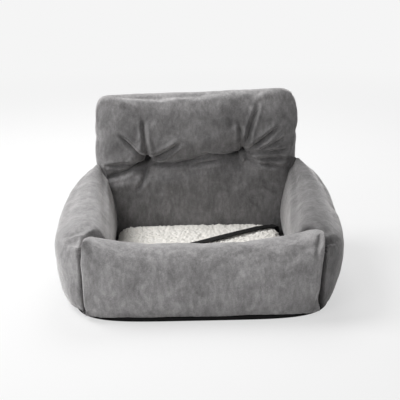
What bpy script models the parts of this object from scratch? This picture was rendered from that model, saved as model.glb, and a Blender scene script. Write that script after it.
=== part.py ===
"""Dog car seat: a back cushion with two sewn tufts, three stuffed bolsters, a lift-out pile mat,
a safety tether with a bolt snap, and the base that they are all sewn to.

Metres, +Z up, +X to the right of someone who looks at the front, +Y to the back.
The origin is under the middle of the seat, on the surface that it stands on."""

import math

import bmesh
import bpy
from mathutils import Matrix, Vector

# Fits that every piece shares
GAP = 0.0003
WELD_DISTANCE = 0.000003
OVERRUN = 0.012
COVER_WALL = 0.003
FILL_CLEARANCE = 0.0010

# Lift-out mat, whose width sets the cabin's
MAT_HALF_WIDTH = 0.181
MAT_FRONT_Y = -0.137
MAT_REAR_Y = 0.142
MAT_THICKNESS = 0.036
MAT_SEAM_SHARE = 0.42
MAT_CORNER_SQUARENESS = 7
MAT_CROWN_SHARE = 0.14
MAT_FLAT_SHARE = 0.55
MAT_PILE = 0.005
MAT_UNDER_CLOTH = 0.002
MAT_SIDE_CLEARANCE = 0.0025

# Side bolsters
SIDE_THICKNESS = 0.109
SIDE_INNER_X = MAT_HALF_WIDTH + MAT_SIDE_CLEARANCE
SIDE_OUTER_X = SIDE_INNER_X + SIDE_THICKNESS
SIDE_FRONT_REACH = 0.247
SIDE_REAR_REACH = 0.240
SIDE_FRONT_SQUARENESS = 4.4
SIDE_REAR_SQUARENESS = 3
SIDE_HEIGHT_FRONT = 0.164
SIDE_HEIGHT_REAR = 0.209
SIDE_NOSE_DROP = 0.010
SIDE_WIDEST_HEIGHT = 0.114
SIDE_TIP_WIDTH = 0.012
SIDE_FOOT_DIP = 0.012
SIDE_PUCKER = 0.0035
SIDE_PUCKER_SPACING = 0.062

# Front bolster, whose ends lie in front of the side bolsters
FRONT_END_LAP = 0.045
FRONT_HALF_LENGTH = SIDE_INNER_X + FRONT_END_LAP
FRONT_FACE_Y = -0.252
FRONT_CORNER_SETBACK = 0.016
FRONT_THICKNESS = 0.112
FRONT_HEIGHT_MIDDLE = 0.137
FRONT_EAR_RISE = 0.038
FRONT_SEAM_DRAW = 0.006
FRONT_BULGE = 0.004
FRONT_FOOT_DIP = 0.014

# Base: a non-slip tray of cloth, a foam board in it, and the cabin's floor
BASE_INSET = 0.031
BASE_HALF_WIDTH = SIDE_OUTER_X - BASE_INSET
BASE_HALF_LENGTH = 0.236
BASE_CENTRE_Y = -0.003
BASE_FRONT_SQUARENESS = 7
BASE_REAR_SQUARENESS = 3.2
BASE_CLOTH = 0.002
BASE_RIM_HEIGHT = 0.008
FLOOR_FOAM_TOP = 0.026
FLOOR_FOAM_INSET = 0.003
FLOOR_FOAM_HALF_WIDTH = MAT_HALF_WIDTH - FLOOR_FOAM_INSET
LINER_CLOTH = 0.0015

# Back cushion
BACK_SIDE_LAP = 0.044
BACK_HALF_WIDTH = SIDE_INNER_X + BACK_SIDE_LAP
BACK_HEIGHT = 0.352
BACK_FOOT_Y = 0.186
BACK_LEAN = math.radians(6)
BACK_THICKNESS = 0.088
BACK_CROWN = 0.009
BACK_SEAM_DRAW = 0.004
TUFT_LEFT_X = -0.1155
TUFT_LEFT_HEIGHT = 0.208
TUFT_RIGHT_X = 0.100
TUFT_RIGHT_HEIGHT = 0.225
TUFT_DEPTH = 0.027
TUFT_RADIUS = 0.024
TUFT_FOLD_REACH = 0.062
TUFT_FOLD_DEPTH = 0.007
TUFT_LEFT_FOLDS = 5
TUFT_LEFT_TURN = 0.4
TUFT_RIGHT_FOLDS = 6
TUFT_RIGHT_TURN = 1.3
TUFT_TIE_RADIUS = 0.0014
TUFT_KNOT_RADIUS = 0.0012
TUFT_TIE_HOLE_RADIUS = 0.0035

# Tether strap, flat webbing from the cabin's rear right corner to the snap
STRAP_WIDTH = 0.020
STRAP_THICKNESS = 0.0016
STRAP_HEADING = math.radians(211)
STRAP_EDGE_CLEARANCE = 0.0008
STRAP_BEND_RADIUS = 0.006
STRAP_ON_MAT = 0.285
STRAP_FOLD_BACK = 0.026
STRAP_STEP = 0.009
STRAP_DESCENT = math.radians(28)

# Bolt snap
SNAP_BAR_RADIUS = 0.0019
SNAP_EYE_SIDE_CLEARANCE = 0.0012
SNAP_EYE_LENGTH = 0.013
SNAP_BARREL_RADIUS = 0.0050
SNAP_BARREL_LENGTH = 0.029
SNAP_BORE_RADIUS = 0.0032
SNAP_BORE_FLOOR = 0.0040
SNAP_MOUTH_WALL = 0.0025
SNAP_LIFT = 0.0004
SNAP_SWIVEL_PIN_RADIUS = 0.0014
SNAP_SWIVEL_HEAD_RADIUS = 0.0022
SNAP_SWIVEL_HEAD_LENGTH = 0.0010
SNAP_JAW_WIRE_RADIUS = 0.0025
SNAP_JAW_LENGTH = 0.031
SNAP_JAW_WIDTH = 0.0150
SNAP_BOLT_RADIUS = 0.0021
SNAP_BOLT_HEAD_RADIUS = 0.0028
SNAP_BOLT_HEAD_LENGTH = 0.005
SNAP_BOLT_TRAVEL = 0.007
SNAP_THUMB_RADIUS = 0.0013
SNAP_THUMB_REACH = 0.0085
SNAP_CUT_PAST = 0.003
SNAP_SPRING_WIRE_RADIUS = 0.0003
SNAP_SPRING_SOLID_LENGTH = 0.0028
SNAP_SPRING_TURNS = 4
SNAP_SPRING_POINTS_A_TURN = 8

# Zip of the back cushion's cover, in a flat strip of its rear face
ZIP_HALF_LENGTH = 0.165
ZIP_HEIGHT = 0.046
ZIP_TAPE_WIDTH = 0.024
ZIP_TAPE_THICKNESS = 0.0009
ZIP_SEAT_CLEARANCE = 0.0010
ZIP_TEETH_WIDTH = 0.0046
ZIP_TEETH_HEIGHT = 0.0014
ZIP_TOOTH_PITCH = 0.0095
ZIP_TOOTH_SHARE = 0.55
ZIP_END_STOP = 0.004
ZIP_SLIDER_LENGTH = 0.011
ZIP_SLIDER_WIDTH = 0.0085
ZIP_SLIDER_PLATE = 0.0011
ZIP_BAIL_RADIUS = 0.0009
ZIP_BAIL_WIDTH = 0.0034
ZIP_PULL_LENGTH = 0.024
ZIP_PULL_WIDTH = 0.0062
ZIP_PULL_THICKNESS = 0.0012
ZIP_HOLE_PAST = 0.003
ZIP_REST_INSET = 0.015
ZIP_REST_X = ZIP_REST_INSET - ZIP_HALF_LENGTH

# Belt loops on the rear of the back cushion
LOOP_X = 0.072
LOOP_WIDTH = 0.038
LOOP_FOOT_HEIGHT = 0.095
LOOP_SPAN = 0.074
LOOP_FOOT_LENGTH = 0.020
LOOP_STAND_OFF = 0.013
LOOP_WEBBING = 0.0022

# Mesh counts and shape powers
FRONT_STATIONS = 19
FRONT_RING_POINTS = 22
FRONT_SECTION_POWER = 3.2
FRONT_EAR_POWER = 3.6
FRONT_DRAW_POWER = 3
FRONT_END_POWER = 6
FRONT_END_ROUNDING = 2.2
FRONT_HOLLOW_END_SHARE = 2.5
CUTTER_REACH_SHARE = 4
SIDE_STATIONS = 17
SIDE_RING_POINTS = 20
SIDE_TOP_POWER = 2.2
SIDE_FOOT_POWER = 2.6
SIDE_RISE_POWER = 1.3
SIDE_NOSE_POWER = 5
SIDE_PUCKER_POWER = 4
BACK_COLUMNS = 23
BACK_ROWS = 14
BACK_EDGE_POWER = 8
BACK_EDGE_ROUNDING = 2.4
BACK_DRAW_POWER = 3
BACK_DRAW_LEVEL_POWER = 4
BACK_FOOT_DRAW_POWER = 4
BACK_FOOT_DRAW_SHARE = 0.14
TUFT_SHARPNESS = 1.3
MAT_COLUMNS = 15
MAT_ROWS = 13
MAT_EDGE_POWER = 6
MAT_EDGE_ROUNDING = 2.3
OUTLINE_POINTS = 40
DIAGONAL_TURN_SHARE = 4
SHARP_ANGLE = math.radians(50)
ROUND_SIDES = 16
WIRE_SIDES = 10
SPRING_SIDES = 5
STRAP_BEND_STEPS = 5
STRAP_TURN_STEPS = 9
STRAP_TAIL_STEPS = 2
LOOP_ARCH_STEPS = 10
LOOP_ARCH_POWER = 0.7
SNAP_EYE_STEPS = 3
SNAP_JAW_STEPS = 4


def signed_power(value, power):
    return math.copysign(abs(value) ** power, value)


def blend(start, end, share):
    return start + (end - start) * share


def ends_dense(count):
    """Shares from -1 to 1 that crowd towards both ends."""
    return [math.sin(math.pi / 2 * (2 * i / (count - 1) - 1)) for i in range(count)]


def clear_scene():
    for obj in list(bpy.data.objects):
        bpy.data.objects.remove(obj, do_unlink=True)


def finish_material(name, colour, roughness, metallic=0.0):
    material = bpy.data.materials.get(name) or bpy.data.materials.new(name)
    material.use_nodes = True
    shader = material.node_tree.nodes["Principled BSDF"]
    shader.inputs["Base Color"].default_value = (*colour, 1)
    shader.inputs["Roughness"].default_value = roughness
    shader.inputs["Metallic"].default_value = metallic
    return material


PLUSH = ((0.165, 0.155, 0.155), 0.95)
FIBRE = ((0.80, 0.80, 0.78), 0.95)
FOAM = ((0.70, 0.68, 0.62), 0.90)
NON_SLIP = ((0.012, 0.012, 0.013), 0.80)
LINER = ((0.10, 0.10, 0.10), 0.90)
PILE = ((0.78, 0.76, 0.72), 0.98)
WEBBING = ((0.012, 0.011, 0.010), 0.65)
THREAD = ((0.10, 0.10, 0.10), 0.70)
CHROME = ((0.72, 0.72, 0.72), 0.22, 1.0)
SPRING_STEEL = ((0.55, 0.55, 0.56), 0.35, 1.0)
NYLON = ((0.02, 0.02, 0.021), 0.45)


def object_of(name, mesh_data, finish=None, smooth=True):
    """A mesh object of welded, outward faces, from a bmesh."""
    bmesh.ops.remove_doubles(mesh_data, verts=mesh_data.verts, dist=WELD_DISTANCE)
    bmesh.ops.recalc_face_normals(mesh_data, faces=mesh_data.faces)
    if mesh_data.calc_volume(signed=True) < 0:
        bmesh.ops.reverse_faces(mesh_data, faces=mesh_data.faces)
    mesh = bpy.data.meshes.new(name)
    mesh_data.to_mesh(mesh)
    mesh_data.free()
    obj = bpy.data.objects.new(name, mesh)
    bpy.context.scene.collection.objects.link(obj)
    if smooth:
        mesh.shade_smooth()
        mesh.set_sharp_from_angle(angle=SHARP_ANGLE)
    if finish:
        mesh.materials.append(finish_material(name, *finish))
    return obj


def add_cell(mesh_data, a, b, c, d):
    """Two triangles on one fixed diagonal, so that forms inside each other stay nested."""
    mesh_data.faces.new((a, b, c))
    mesh_data.faces.new((a, c, d))


def loft(rings):
    """A closed body through rings of equal counts, with a flat cap at each end."""
    mesh_data = bmesh.new()
    rows = [[mesh_data.verts.new(point) for point in ring] for ring in rings]
    count = len(rings[0])
    for lower, upper in zip(rows, rows[1:]):
        for i in range(count):
            j = (i + 1) % count
            add_cell(mesh_data, lower[i], lower[j], upper[j], upper[i])
    mesh_data.faces.new(rows[0])
    mesh_data.faces.new(rows[-1])
    return mesh_data


def between(upper, lower):
    """A closed body between two sheets of points of equal counts, joined round their border."""
    mesh_data = bmesh.new()
    sheets = [[[mesh_data.verts.new(p) for p in row] for row in grid] for grid in (upper, lower)]
    rows, columns = len(upper), len(upper[0])
    for sheet in sheets:
        for i in range(rows - 1):
            for j in range(columns - 1):
                cell = [sheet[i][j], sheet[i][j + 1], sheet[i + 1][j + 1], sheet[i + 1][j]]
                low_rows = columns // DIAGONAL_TURN_SHARE
                if (rows - 2 - i > low_rows) != (2 * j < columns - 1):
                    cell = cell[1:] + cell[:1]
                add_cell(mesh_data, *cell)
    border = [(0, j) for j in range(columns)] + [(i, columns - 1) for i in range(1, rows)]
    border += [(rows - 1, j) for j in range(columns - 2, -1, -1)] + [(i, 0) for i in range(rows - 2, 0, -1)]
    for (i, j), (k, l) in zip(border, border[1:] + border[:1]):
        add_cell(mesh_data, sheets[0][i][j], sheets[0][k][l], sheets[1][k][l], sheets[1][i][j])
    return mesh_data


def box(low, high):
    mesh_data = bmesh.new()
    size = Vector(high) - Vector(low)
    place = Matrix.Translation((Vector(low) + Vector(high)) / 2) @ Matrix.Diagonal((*size, 1))
    bmesh.ops.create_cube(mesh_data, size=1, matrix=place)
    return mesh_data


def bar(start, end, radius, sides=ROUND_SIDES, end_radius=None):
    """A round bar or taper between two points."""
    start, end = Vector(start), Vector(end)
    mesh_data = bmesh.new()
    turn = (end - start).to_track_quat("Z", "Y").to_matrix().to_4x4()
    bmesh.ops.create_cone(
        mesh_data,
        cap_ends=True,
        segments=sides,
        radius1=radius,
        radius2=radius if end_radius is None else end_radius,
        depth=(end - start).length,
        matrix=Matrix.Translation((start + end) / 2) @ turn,
    )
    return mesh_data


def swept_wire(points, radius, sides=WIRE_SIDES):
    """A round wire along a list of points, with flat ends."""
    points = [Vector(p) for p in points]
    rings = []
    side = Vector((0, 0, 1))
    for i, point in enumerate(points):
        ahead = points[min(i + 1, len(points) - 1)] - points[max(i - 1, 0)]
        ahead.normalize()
        across = ahead.cross(side).normalized()
        up = across.cross(ahead)
        angles = [2 * math.pi * k / sides for k in range(sides)]
        rings.append([point + across * (radius * math.cos(a)) + up * (radius * math.sin(a)) for a in angles])
    return loft(rings)


def smooth_curve(corners, steps):
    """Points of a Catmull-Rom curve through the corners."""
    corners = [Vector(c) for c in corners]
    padded = [corners[0] * 2 - corners[1], *corners, corners[-1] * 2 - corners[-2]]
    points = []
    for a, b, c, d in zip(padded, padded[1:], padded[2:], padded[3:]):
        for k in range(steps):
            t = k / steps
            straight, bend, twist = c - a, 2 * a - 5 * b + 4 * c - d, 3 * b - a - 3 * c + d
            points.append((2 * b + straight * t + bend * t**2 + twist * t**3) / 2)
    points.append(corners[-1])
    return points


def pivot(obj, place):
    """Puts the object's origin at a place on the axis it moves about."""
    obj.data.transform(Matrix.Translation(-Vector(place)))
    obj.location = place


def boolean(target, tool, operation="DIFFERENCE", solver="EXACT"):
    """Cuts or joins with a helper object that stays hidden."""
    modifier = target.modifiers.new(f"{operation.lower()} {tool.name}", "BOOLEAN")
    modifier.operation = operation
    modifier.solver = solver
    modifier.object = tool
    tool.hide_render = True
    tool.display_type = "WIRE"
    tool.hide_set(True)


def cut(target, name, mesh_data):
    boolean(target, object_of(f"{target.name}_{name}", mesh_data, smooth=False))


def add(target, name, mesh_data):
    boolean(target, object_of(f"{target.name}_{name}", mesh_data, smooth=False), "UNION")


# Outlines and cushion forms


def base_outline(inset, height):
    points = []
    for i in range(OUTLINE_POINTS):
        angle = 2 * math.pi * i / OUTLINE_POINTS
        power = BASE_REAR_SQUARENESS if math.sin(angle) > 0 else BASE_FRONT_SQUARENESS
        x = (BASE_HALF_WIDTH - inset) * signed_power(math.cos(angle), 2 / power)
        y = (BASE_HALF_LENGTH - inset) * signed_power(math.sin(angle), 2 / power)
        points.append(Vector((x, BASE_CENTRE_Y + y, height)))
    return points


BOLSTER_FOOT = BASE_RIM_HEIGHT + GAP


def section(centre, half, height_low, height_top, widest, low_power, top_power, count, extend):
    """A bolster's cross-section, as (across, up) pairs from one side of its flat foot to the other.

    It is a superellipse above and below its widest height, cut flat at the foot.
    Extend adds straight walls down from the foot."""
    share = (widest - BOLSTER_FOOT) / (widest - height_low)
    start = -math.asin(share ** (low_power / 2))
    points = []
    for i in range(count):
        angle = start + (math.pi - 2 * start) * i / (count - 1)
        above = math.sin(angle) > 0
        power, rise = (top_power, height_top - widest) if above else (low_power, widest - height_low)
        out = signed_power(math.cos(angle), 2 / power)
        points.append((centre + out * half, widest + rise * signed_power(math.sin(angle), 2 / power)))
    if extend:
        points = [(points[0][0], BOLSTER_FOOT - extend), *points, (points[-1][0], BOLSTER_FOOT - extend)]
    return points


def front_bolster_form(grow, extend, headroom=0):
    """An upright pillow: broad in the middle, drawn to a seam at each end, with raised corners.

    Headroom carries its full thickness up and down, for cutting its neighbours."""
    rings = []
    half_length = FRONT_HALF_LENGTH + max(grow, 0)
    for share in ends_dense(FRONT_STATIONS):
        rounding = max(1 - abs(share) ** FRONT_END_POWER, 0) ** (1 / FRONT_END_ROUNDING)
        half = FRONT_THICKNESS / 2 * rounding
        top = FRONT_HEIGHT_MIDDLE + FRONT_EAR_RISE * abs(share) ** FRONT_EAR_POWER + grow
        bottom = BASE_RIM_HEIGHT - FRONT_FOOT_DIP - grow
        middle, rise = (top + bottom) / 2, (top - bottom) / 2
        centre = FRONT_FACE_Y + FRONT_CORNER_SETBACK * share**FRONT_END_POWER + half
        half += grow * rounding
        power = FRONT_SECTION_POWER
        low, high = bottom - headroom, top + headroom
        ring = []
        for y, z in section(centre, half, low, high, middle, power, power, FRONT_RING_POINTS, extend):
            belly = max(1 - ((z - middle) / rise) ** 2, 0)
            drawn = 0 if headroom else FRONT_SEAM_DRAW * abs(share) ** FRONT_DRAW_POWER * belly
            bulge = FRONT_BULGE * (1 - share**2) * belly if y < centre else 0
            ring.append(Vector((share * half_length - math.copysign(drawn, share), y - bulge, z)))
        rings.append(ring)
    return loft(rings)


def front_bolster_ends(grow):
    """The space past both ends of the front bolster."""
    mesh_data = bmesh.new()
    inner = FRONT_HALF_LENGTH + 2 * GAP - FRONT_HOLLOW_END_SHARE * (grow - GAP)
    outer = FRONT_HALF_LENGTH + FRONT_THICKNESS
    depth, height = CUTTER_REACH_SHARE * FRONT_THICKNESS, CUTTER_REACH_SHARE * FRONT_HEIGHT_MIDDLE
    for side in (-1, 1):
        centre = (side * (inner + outer) / 2, FRONT_FACE_Y, FRONT_HEIGHT_MIDDLE)
        size = (outer - inner, depth, height, 1)
        bmesh.ops.create_cube(mesh_data, size=1, matrix=Matrix.Translation(centre) @ Matrix.Diagonal(size))
    return mesh_data


def side_outer(y, grow):
    """How far out a side bolster's plan reaches at this y."""
    reach = SIDE_REAR_REACH if y > 0 else SIDE_FRONT_REACH
    power = SIDE_REAR_SQUARENESS if y > 0 else SIDE_FRONT_SQUARENESS
    share = min(abs(y) / (reach + grow), 1)
    return (SIDE_OUTER_X + grow) * (1 - share**power) ** (1 / power)


def side_end(grow, reach, power):
    """The y at which the plan's outer edge is a tip's width from its inner edge."""
    share = (SIDE_INNER_X - grow + SIDE_TIP_WIDTH) / (SIDE_OUTER_X + grow)
    return (reach + grow) * (1 - share**power) ** (1 / power)


def side_bolster_form(side, grow, extend):
    """A long bolster whose plan follows the seat's rounded outline, low at the front."""
    front = side_end(grow, SIDE_FRONT_REACH, SIDE_FRONT_SQUARENESS)
    rear = side_end(grow, SIDE_REAR_REACH, SIDE_REAR_SQUARENESS)
    bottom = BASE_RIM_HEIGHT - SIDE_FOOT_DIP - grow
    rings = []
    for share in ends_dense(SIDE_STATIONS):
        y = share * (rear if share > 0 else front)
        outer = side_outer(y, grow)
        inner = SIDE_INNER_X - grow
        along = (y + front) / (rear + front)
        top = blend(SIDE_HEIGHT_FRONT, SIDE_HEIGHT_REAR, along**SIDE_RISE_POWER) + grow
        top -= SIDE_NOSE_DROP * max(-share, 0) ** SIDE_NOSE_POWER
        top += SIDE_PUCKER * math.cos(2 * math.pi * y / SIDE_PUCKER_SPACING) * abs(share) ** SIDE_PUCKER_POWER
        points = section(
            (outer + inner) / 2,
            (outer - inner) / 2,
            bottom,
            top,
            SIDE_WIDEST_HEIGHT,
            SIDE_FOOT_POWER,
            SIDE_TOP_POWER,
            SIDE_RING_POINTS,
            extend,
        )
        rings.append([Vector((side * x, y, z)) for x, z in points])
    return loft(rings)


def tuft_dent(x, height):
    """How deep the sewn tufts and their radiating folds pull the back cushion in."""
    dent = 0
    for tuft_x, tuft_height, folds, turn in (
        (TUFT_LEFT_X, TUFT_LEFT_HEIGHT, TUFT_LEFT_FOLDS, TUFT_LEFT_TURN),
        (TUFT_RIGHT_X, TUFT_RIGHT_HEIGHT, TUFT_RIGHT_FOLDS, TUFT_RIGHT_TURN),
    ):
        away = math.hypot(x - tuft_x, height - tuft_height)
        angle = math.atan2(height - tuft_height, x - tuft_x)
        dent += TUFT_DEPTH * math.exp(-((away / TUFT_RADIUS) ** TUFT_SHARPNESS))
        fold = max(math.cos(folds * angle + turn), 0)
        dent += TUFT_FOLD_DEPTH * fold * math.exp(-away / TUFT_FOLD_REACH) * min(away / TUFT_RADIUS, 1)
    return dent


def back_half_thickness(x, height, grow):
    """Half the back cushion's thickness at a width and a height up its face."""
    across = min(abs(x) / BACK_HALF_WIDTH, 1)
    up = min(max(height / BACK_HEIGHT, 0), 1)
    edge = (1 - across**BACK_EDGE_POWER) ** (1 / BACK_EDGE_ROUNDING)
    edge *= (1 - up**BACK_EDGE_POWER) ** (1 / BACK_EDGE_ROUNDING)
    crown = BACK_CROWN * (1 - across**2) * (1 - (2 * up - 1) ** 2)
    foot_draw = 1 - BACK_FOOT_DRAW_SHARE * (1 - up) ** BACK_FOOT_DRAW_POWER
    half = (BACK_THICKNESS / 2 + crown) * foot_draw + grow - tuft_dent(x, height)
    return max(half, 0) * edge


def back_point(x, height, through):
    """A point of the leaning back cushion: through is the distance behind its middle plane."""
    y = BACK_FOOT_Y + height * math.sin(BACK_LEAN) + through * math.cos(BACK_LEAN)
    z = BASE_RIM_HEIGHT + height * math.cos(BACK_LEAN) - through * math.sin(BACK_LEAN)
    return Vector((x, y, z))


def back_cushion_form(grow, extend):
    """A crowned pillow with two tufts, its sides drawn in between the corners, and a flat foot."""
    sheets = []
    for facing in (-1, 1):
        sheet = []
        for i in range(BACK_ROWS):
            up = math.sin(math.pi / 2 * i / (BACK_ROWS - 1))
            row = []
            for across in ends_dense(BACK_COLUMNS):
                half = back_half_thickness(across * BACK_HALF_WIDTH, up * BACK_HEIGHT, grow)
                level = 1 - (2 * up - 1) ** BACK_DRAW_LEVEL_POWER
                drawn = BACK_SEAM_DRAW * abs(across) ** BACK_DRAW_POWER * level
                x = across * (BACK_HALF_WIDTH + grow) - math.copysign(drawn, across)
                point = back_point(x, up * (BACK_HEIGHT + grow), facing * half)
                if i == 0:
                    point.z = BOLSTER_FOOT
                row.append(point)
            sheet.append(row)
        if extend:
            sheet.insert(0, [point - Vector((0, 0, extend)) for point in sheet[0]])
        sheets.append(sheet)
    return between(*sheets)


MAT_FOOT = FLOOR_FOAM_TOP + LINER_CLOTH + 2 * GAP
MAT_SEAM = MAT_FOOT + MAT_THICKNESS * MAT_SEAM_SHARE
MAT_CENTRE_Y = (MAT_FRONT_Y + MAT_REAR_Y) / 2
MAT_HALF_LENGTH = (MAT_REAR_Y - MAT_FRONT_Y) / 2


def mat_fullness(across, along):
    """From 0 at the mat's edge to 1 over its middle, at shares of its half width and half length."""
    power = MAT_CORNER_SQUARENESS
    away = min((abs(across) ** power + abs(along) ** power) ** (1 / power), 1)
    return (1 - away**MAT_EDGE_POWER) ** (1 / MAT_EDGE_ROUNDING)


def mat_rise(across, along):
    """The share of its full height that the mat's upper face has there."""
    return mat_fullness(across, along) * blend(1 - MAT_CROWN_SHARE, 1, 1 - across**2)


def mat_sag(across, along):
    """The share of its full drop that the mat's lower face has there, flat where it lies."""
    return min(mat_fullness(across, along) / MAT_FLAT_SHARE, 1)


def mat_top(x, y):
    """Height of the mat's upper face."""
    across = min(abs(x) / MAT_HALF_WIDTH, 1)
    along = min(abs(y - MAT_CENTRE_Y) / MAT_HALF_LENGTH, 1)
    return MAT_SEAM + MAT_THICKNESS * (1 - MAT_SEAM_SHARE) * mat_rise(across, along)


def mat_sheet(inset, seam, height, shape):
    """A sheet of the mat that leaves its seam by height times the shape, crowded to a rounded border."""
    sheet = []
    power = MAT_CORNER_SQUARENESS
    for v in ends_dense(MAT_ROWS):
        row = []
        for u in ends_dense(MAT_COLUMNS):
            norm = (abs(u) ** power + abs(v) ** power) ** (1 / power)
            pull = max(abs(u), abs(v)) / norm if norm else 1
            across, along = u * pull, v * pull
            x = across * (MAT_HALF_WIDTH - inset)
            y = MAT_CENTRE_Y + along * (MAT_HALF_LENGTH - inset)
            border = abs(u) == 1 or abs(v) == 1
            row.append(Vector((x, y, seam if border else seam + height * shape(across, along))))
        sheet.append(row)
    return sheet


# Root pieces


def make_base():
    tray_rings = [
        base_outline(0, 0),
        base_outline(0, BASE_RIM_HEIGHT),
        base_outline(BASE_CLOTH, BASE_RIM_HEIGHT),
        base_outline(BASE_CLOTH, BASE_CLOTH),
    ]
    object_of("base_underside", loft(tray_rings), NON_SLIP)
    board_inset = BASE_CLOTH + GAP
    board = [base_outline(board_inset, BASE_CLOTH + GAP), base_outline(board_inset, BASE_RIM_HEIGHT)]
    object_of("base_board", loft(board), FOAM)

    front = MAT_FRONT_Y
    rear = BACK_FOOT_Y - BACK_THICKNESS / 2
    foam = box(
        (-FLOOR_FOAM_HALF_WIDTH, front, BOLSTER_FOOT),
        (FLOOR_FOAM_HALF_WIDTH, rear, FLOOR_FOAM_TOP),
    )
    object_of("base_foam", foam, FOAM, smooth=False)
    liner = box(
        (-MAT_HALF_WIDTH, front, FLOOR_FOAM_TOP + GAP),
        (MAT_HALF_WIDTH, rear + COVER_WALL, FLOOR_FOAM_TOP + GAP + LINER_CLOTH),
    )
    object_of("base_liner", liner, LINER, smooth=False)


def zip_seat_y():
    """Where the zip's tape lies: just under the rear face at the zip's ends."""
    up = (ZIP_HEIGHT - BASE_RIM_HEIGHT) / math.cos(BACK_LEAN)
    surface = back_point(0, up, back_half_thickness(ZIP_HALF_LENGTH, up, 0))
    return surface.y - ZIP_TAPE_THICKNESS - 2 * GAP


def zip_pocket(grow):
    """The flat strip that the zip lies in, cut into the back cushion's rear face."""
    seat = zip_seat_y()
    half_height = ZIP_TAPE_WIDTH / 2 + ZIP_SEAT_CLEARANCE + grow
    half_length = ZIP_HALF_LENGTH + ZIP_SEAT_CLEARANCE + grow
    return box(
        (-half_length, seat - grow, ZIP_HEIGHT - half_height),
        (half_length, seat + BACK_THICKNESS, ZIP_HEIGHT + half_height),
    )


def stuffed(name, form, neighbours, finish):
    """A cover, open at its foot, and the fill inside it, both cut clear of the neighbours' forms."""
    inside = -(COVER_WALL + FILL_CLEARANCE)
    cover = object_of(f"{name}_cover", form(0, 0), finish)
    hollow = object_of(f"{name}_hollow", form(-COVER_WALL, OVERRUN), smooth=False)
    fill = object_of(f"{name}_fill", form(inside, 0), FIBRE)
    for i, neighbour in enumerate(neighbours):
        cut(cover, f"clear_{i}", neighbour(GAP))
        cut(hollow, f"clear_{i}", neighbour(GAP + COVER_WALL))
        cut(fill, f"clear_{i}", neighbour(GAP + COVER_WALL + FILL_CLEARANCE))
    boolean(cover, hollow, solver="MANIFOLD")
    return cover, fill


def make_bolsters():
    def front(grow):
        return front_bolster_form(grow, OVERRUN, SIDE_HEIGHT_REAR - FRONT_HEIGHT_MIDDLE)

    def back(grow):
        return back_cushion_form(grow, OVERRUN)

    stuffed("front_bolster", front_bolster_form, [front_bolster_ends], PLUSH)
    for name, side in (("left_bolster", -1), ("right_bolster", 1)):

        def form(grow, extend, side=side):
            return side_bolster_form(side, grow, extend)

        stuffed(name, form, [front, back], PLUSH)


def tuft_line(x, height):
    """The line through the back cushion along which a tuft is sewn."""
    return back_point(x, height, -BACK_THICKNESS), back_point(x, height, BACK_THICKNESS)


def make_back():
    _, fill = stuffed("back_cushion", back_cushion_form, [zip_pocket], PLUSH)
    for name, x, height in (
        ("left", TUFT_LEFT_X, TUFT_LEFT_HEIGHT),
        ("right", TUFT_RIGHT_X, TUFT_RIGHT_HEIGHT),
    ):
        cut(fill, f"tuft_hole_{name}", bar(*tuft_line(x, height), TUFT_TIE_HOLE_RADIUS))
        reach = back_half_thickness(x, height, -COVER_WALL) - GAP
        ends = back_point(x, height, -reach), back_point(x, height, reach)
        tie = object_of(f"tuft_tie_{name}", bar(*ends, TUFT_TIE_RADIUS, WIRE_SIDES), THREAD)
        for place, inward in ((ends[0], 1), (ends[1], -1)):
            step = (ends[1] - ends[0]).normalized() * (TUFT_TIE_RADIUS * inward)
            across = Vector((TUFT_TIE_HOLE_RADIUS - GAP, 0, 0))
            centre = place + step
            add(tie, f"knot_{inward}", bar(centre - across, centre + across, TUFT_KNOT_RADIUS, WIRE_SIDES))


def make_belt_loops():
    """Arched webbing sewn to the rear of the back cushion, its feet shaped to the cover."""
    low, high = LOOP_FOOT_HEIGHT, LOOP_FOOT_HEIGHT + LOOP_SPAN
    surface_low = back_point(LOOP_X, low, back_half_thickness(LOOP_X, low, 0))
    surface_high = back_point(LOOP_X, high, back_half_thickness(LOOP_X, high, 0))
    for name, side in (("left", -1), ("right", 1)):
        rings = []
        for x in (side * LOOP_X - LOOP_WIDTH / 2, side * LOOP_X + LOOP_WIDTH / 2):
            outer = loop_profile(surface_low, surface_high, LOOP_WEBBING)
            inner = loop_profile(surface_low, surface_high, 0)
            rings.append([Vector((x, p.y, p.z)) for p in outer + inner[::-1]])
        loop = object_of(f"belt_loop_{name}", loft(rings), WEBBING, smooth=False)
        cut(loop, "seat", back_cushion_form(2 * GAP, OVERRUN))


def loop_profile(low, high, thickness):
    """Foot, arch and foot of a belt loop in its YZ plane."""
    up = (high - low).normalized()
    out = Vector((0, up.z, -up.y))
    arch = []
    for i in range(LOOP_ARCH_STEPS + 1):
        share = i / LOOP_ARCH_STEPS
        lift = LOOP_STAND_OFF * math.sin(math.pi * share) ** LOOP_ARCH_POWER + thickness
        arch.append(low + (high - low) * share + out * lift)
    sunk = -LOOP_WEBBING if thickness == 0 else thickness
    return [low - up * LOOP_FOOT_LENGTH + out * sunk, *arch, high + up * LOOP_FOOT_LENGTH + out * sunk]


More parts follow.
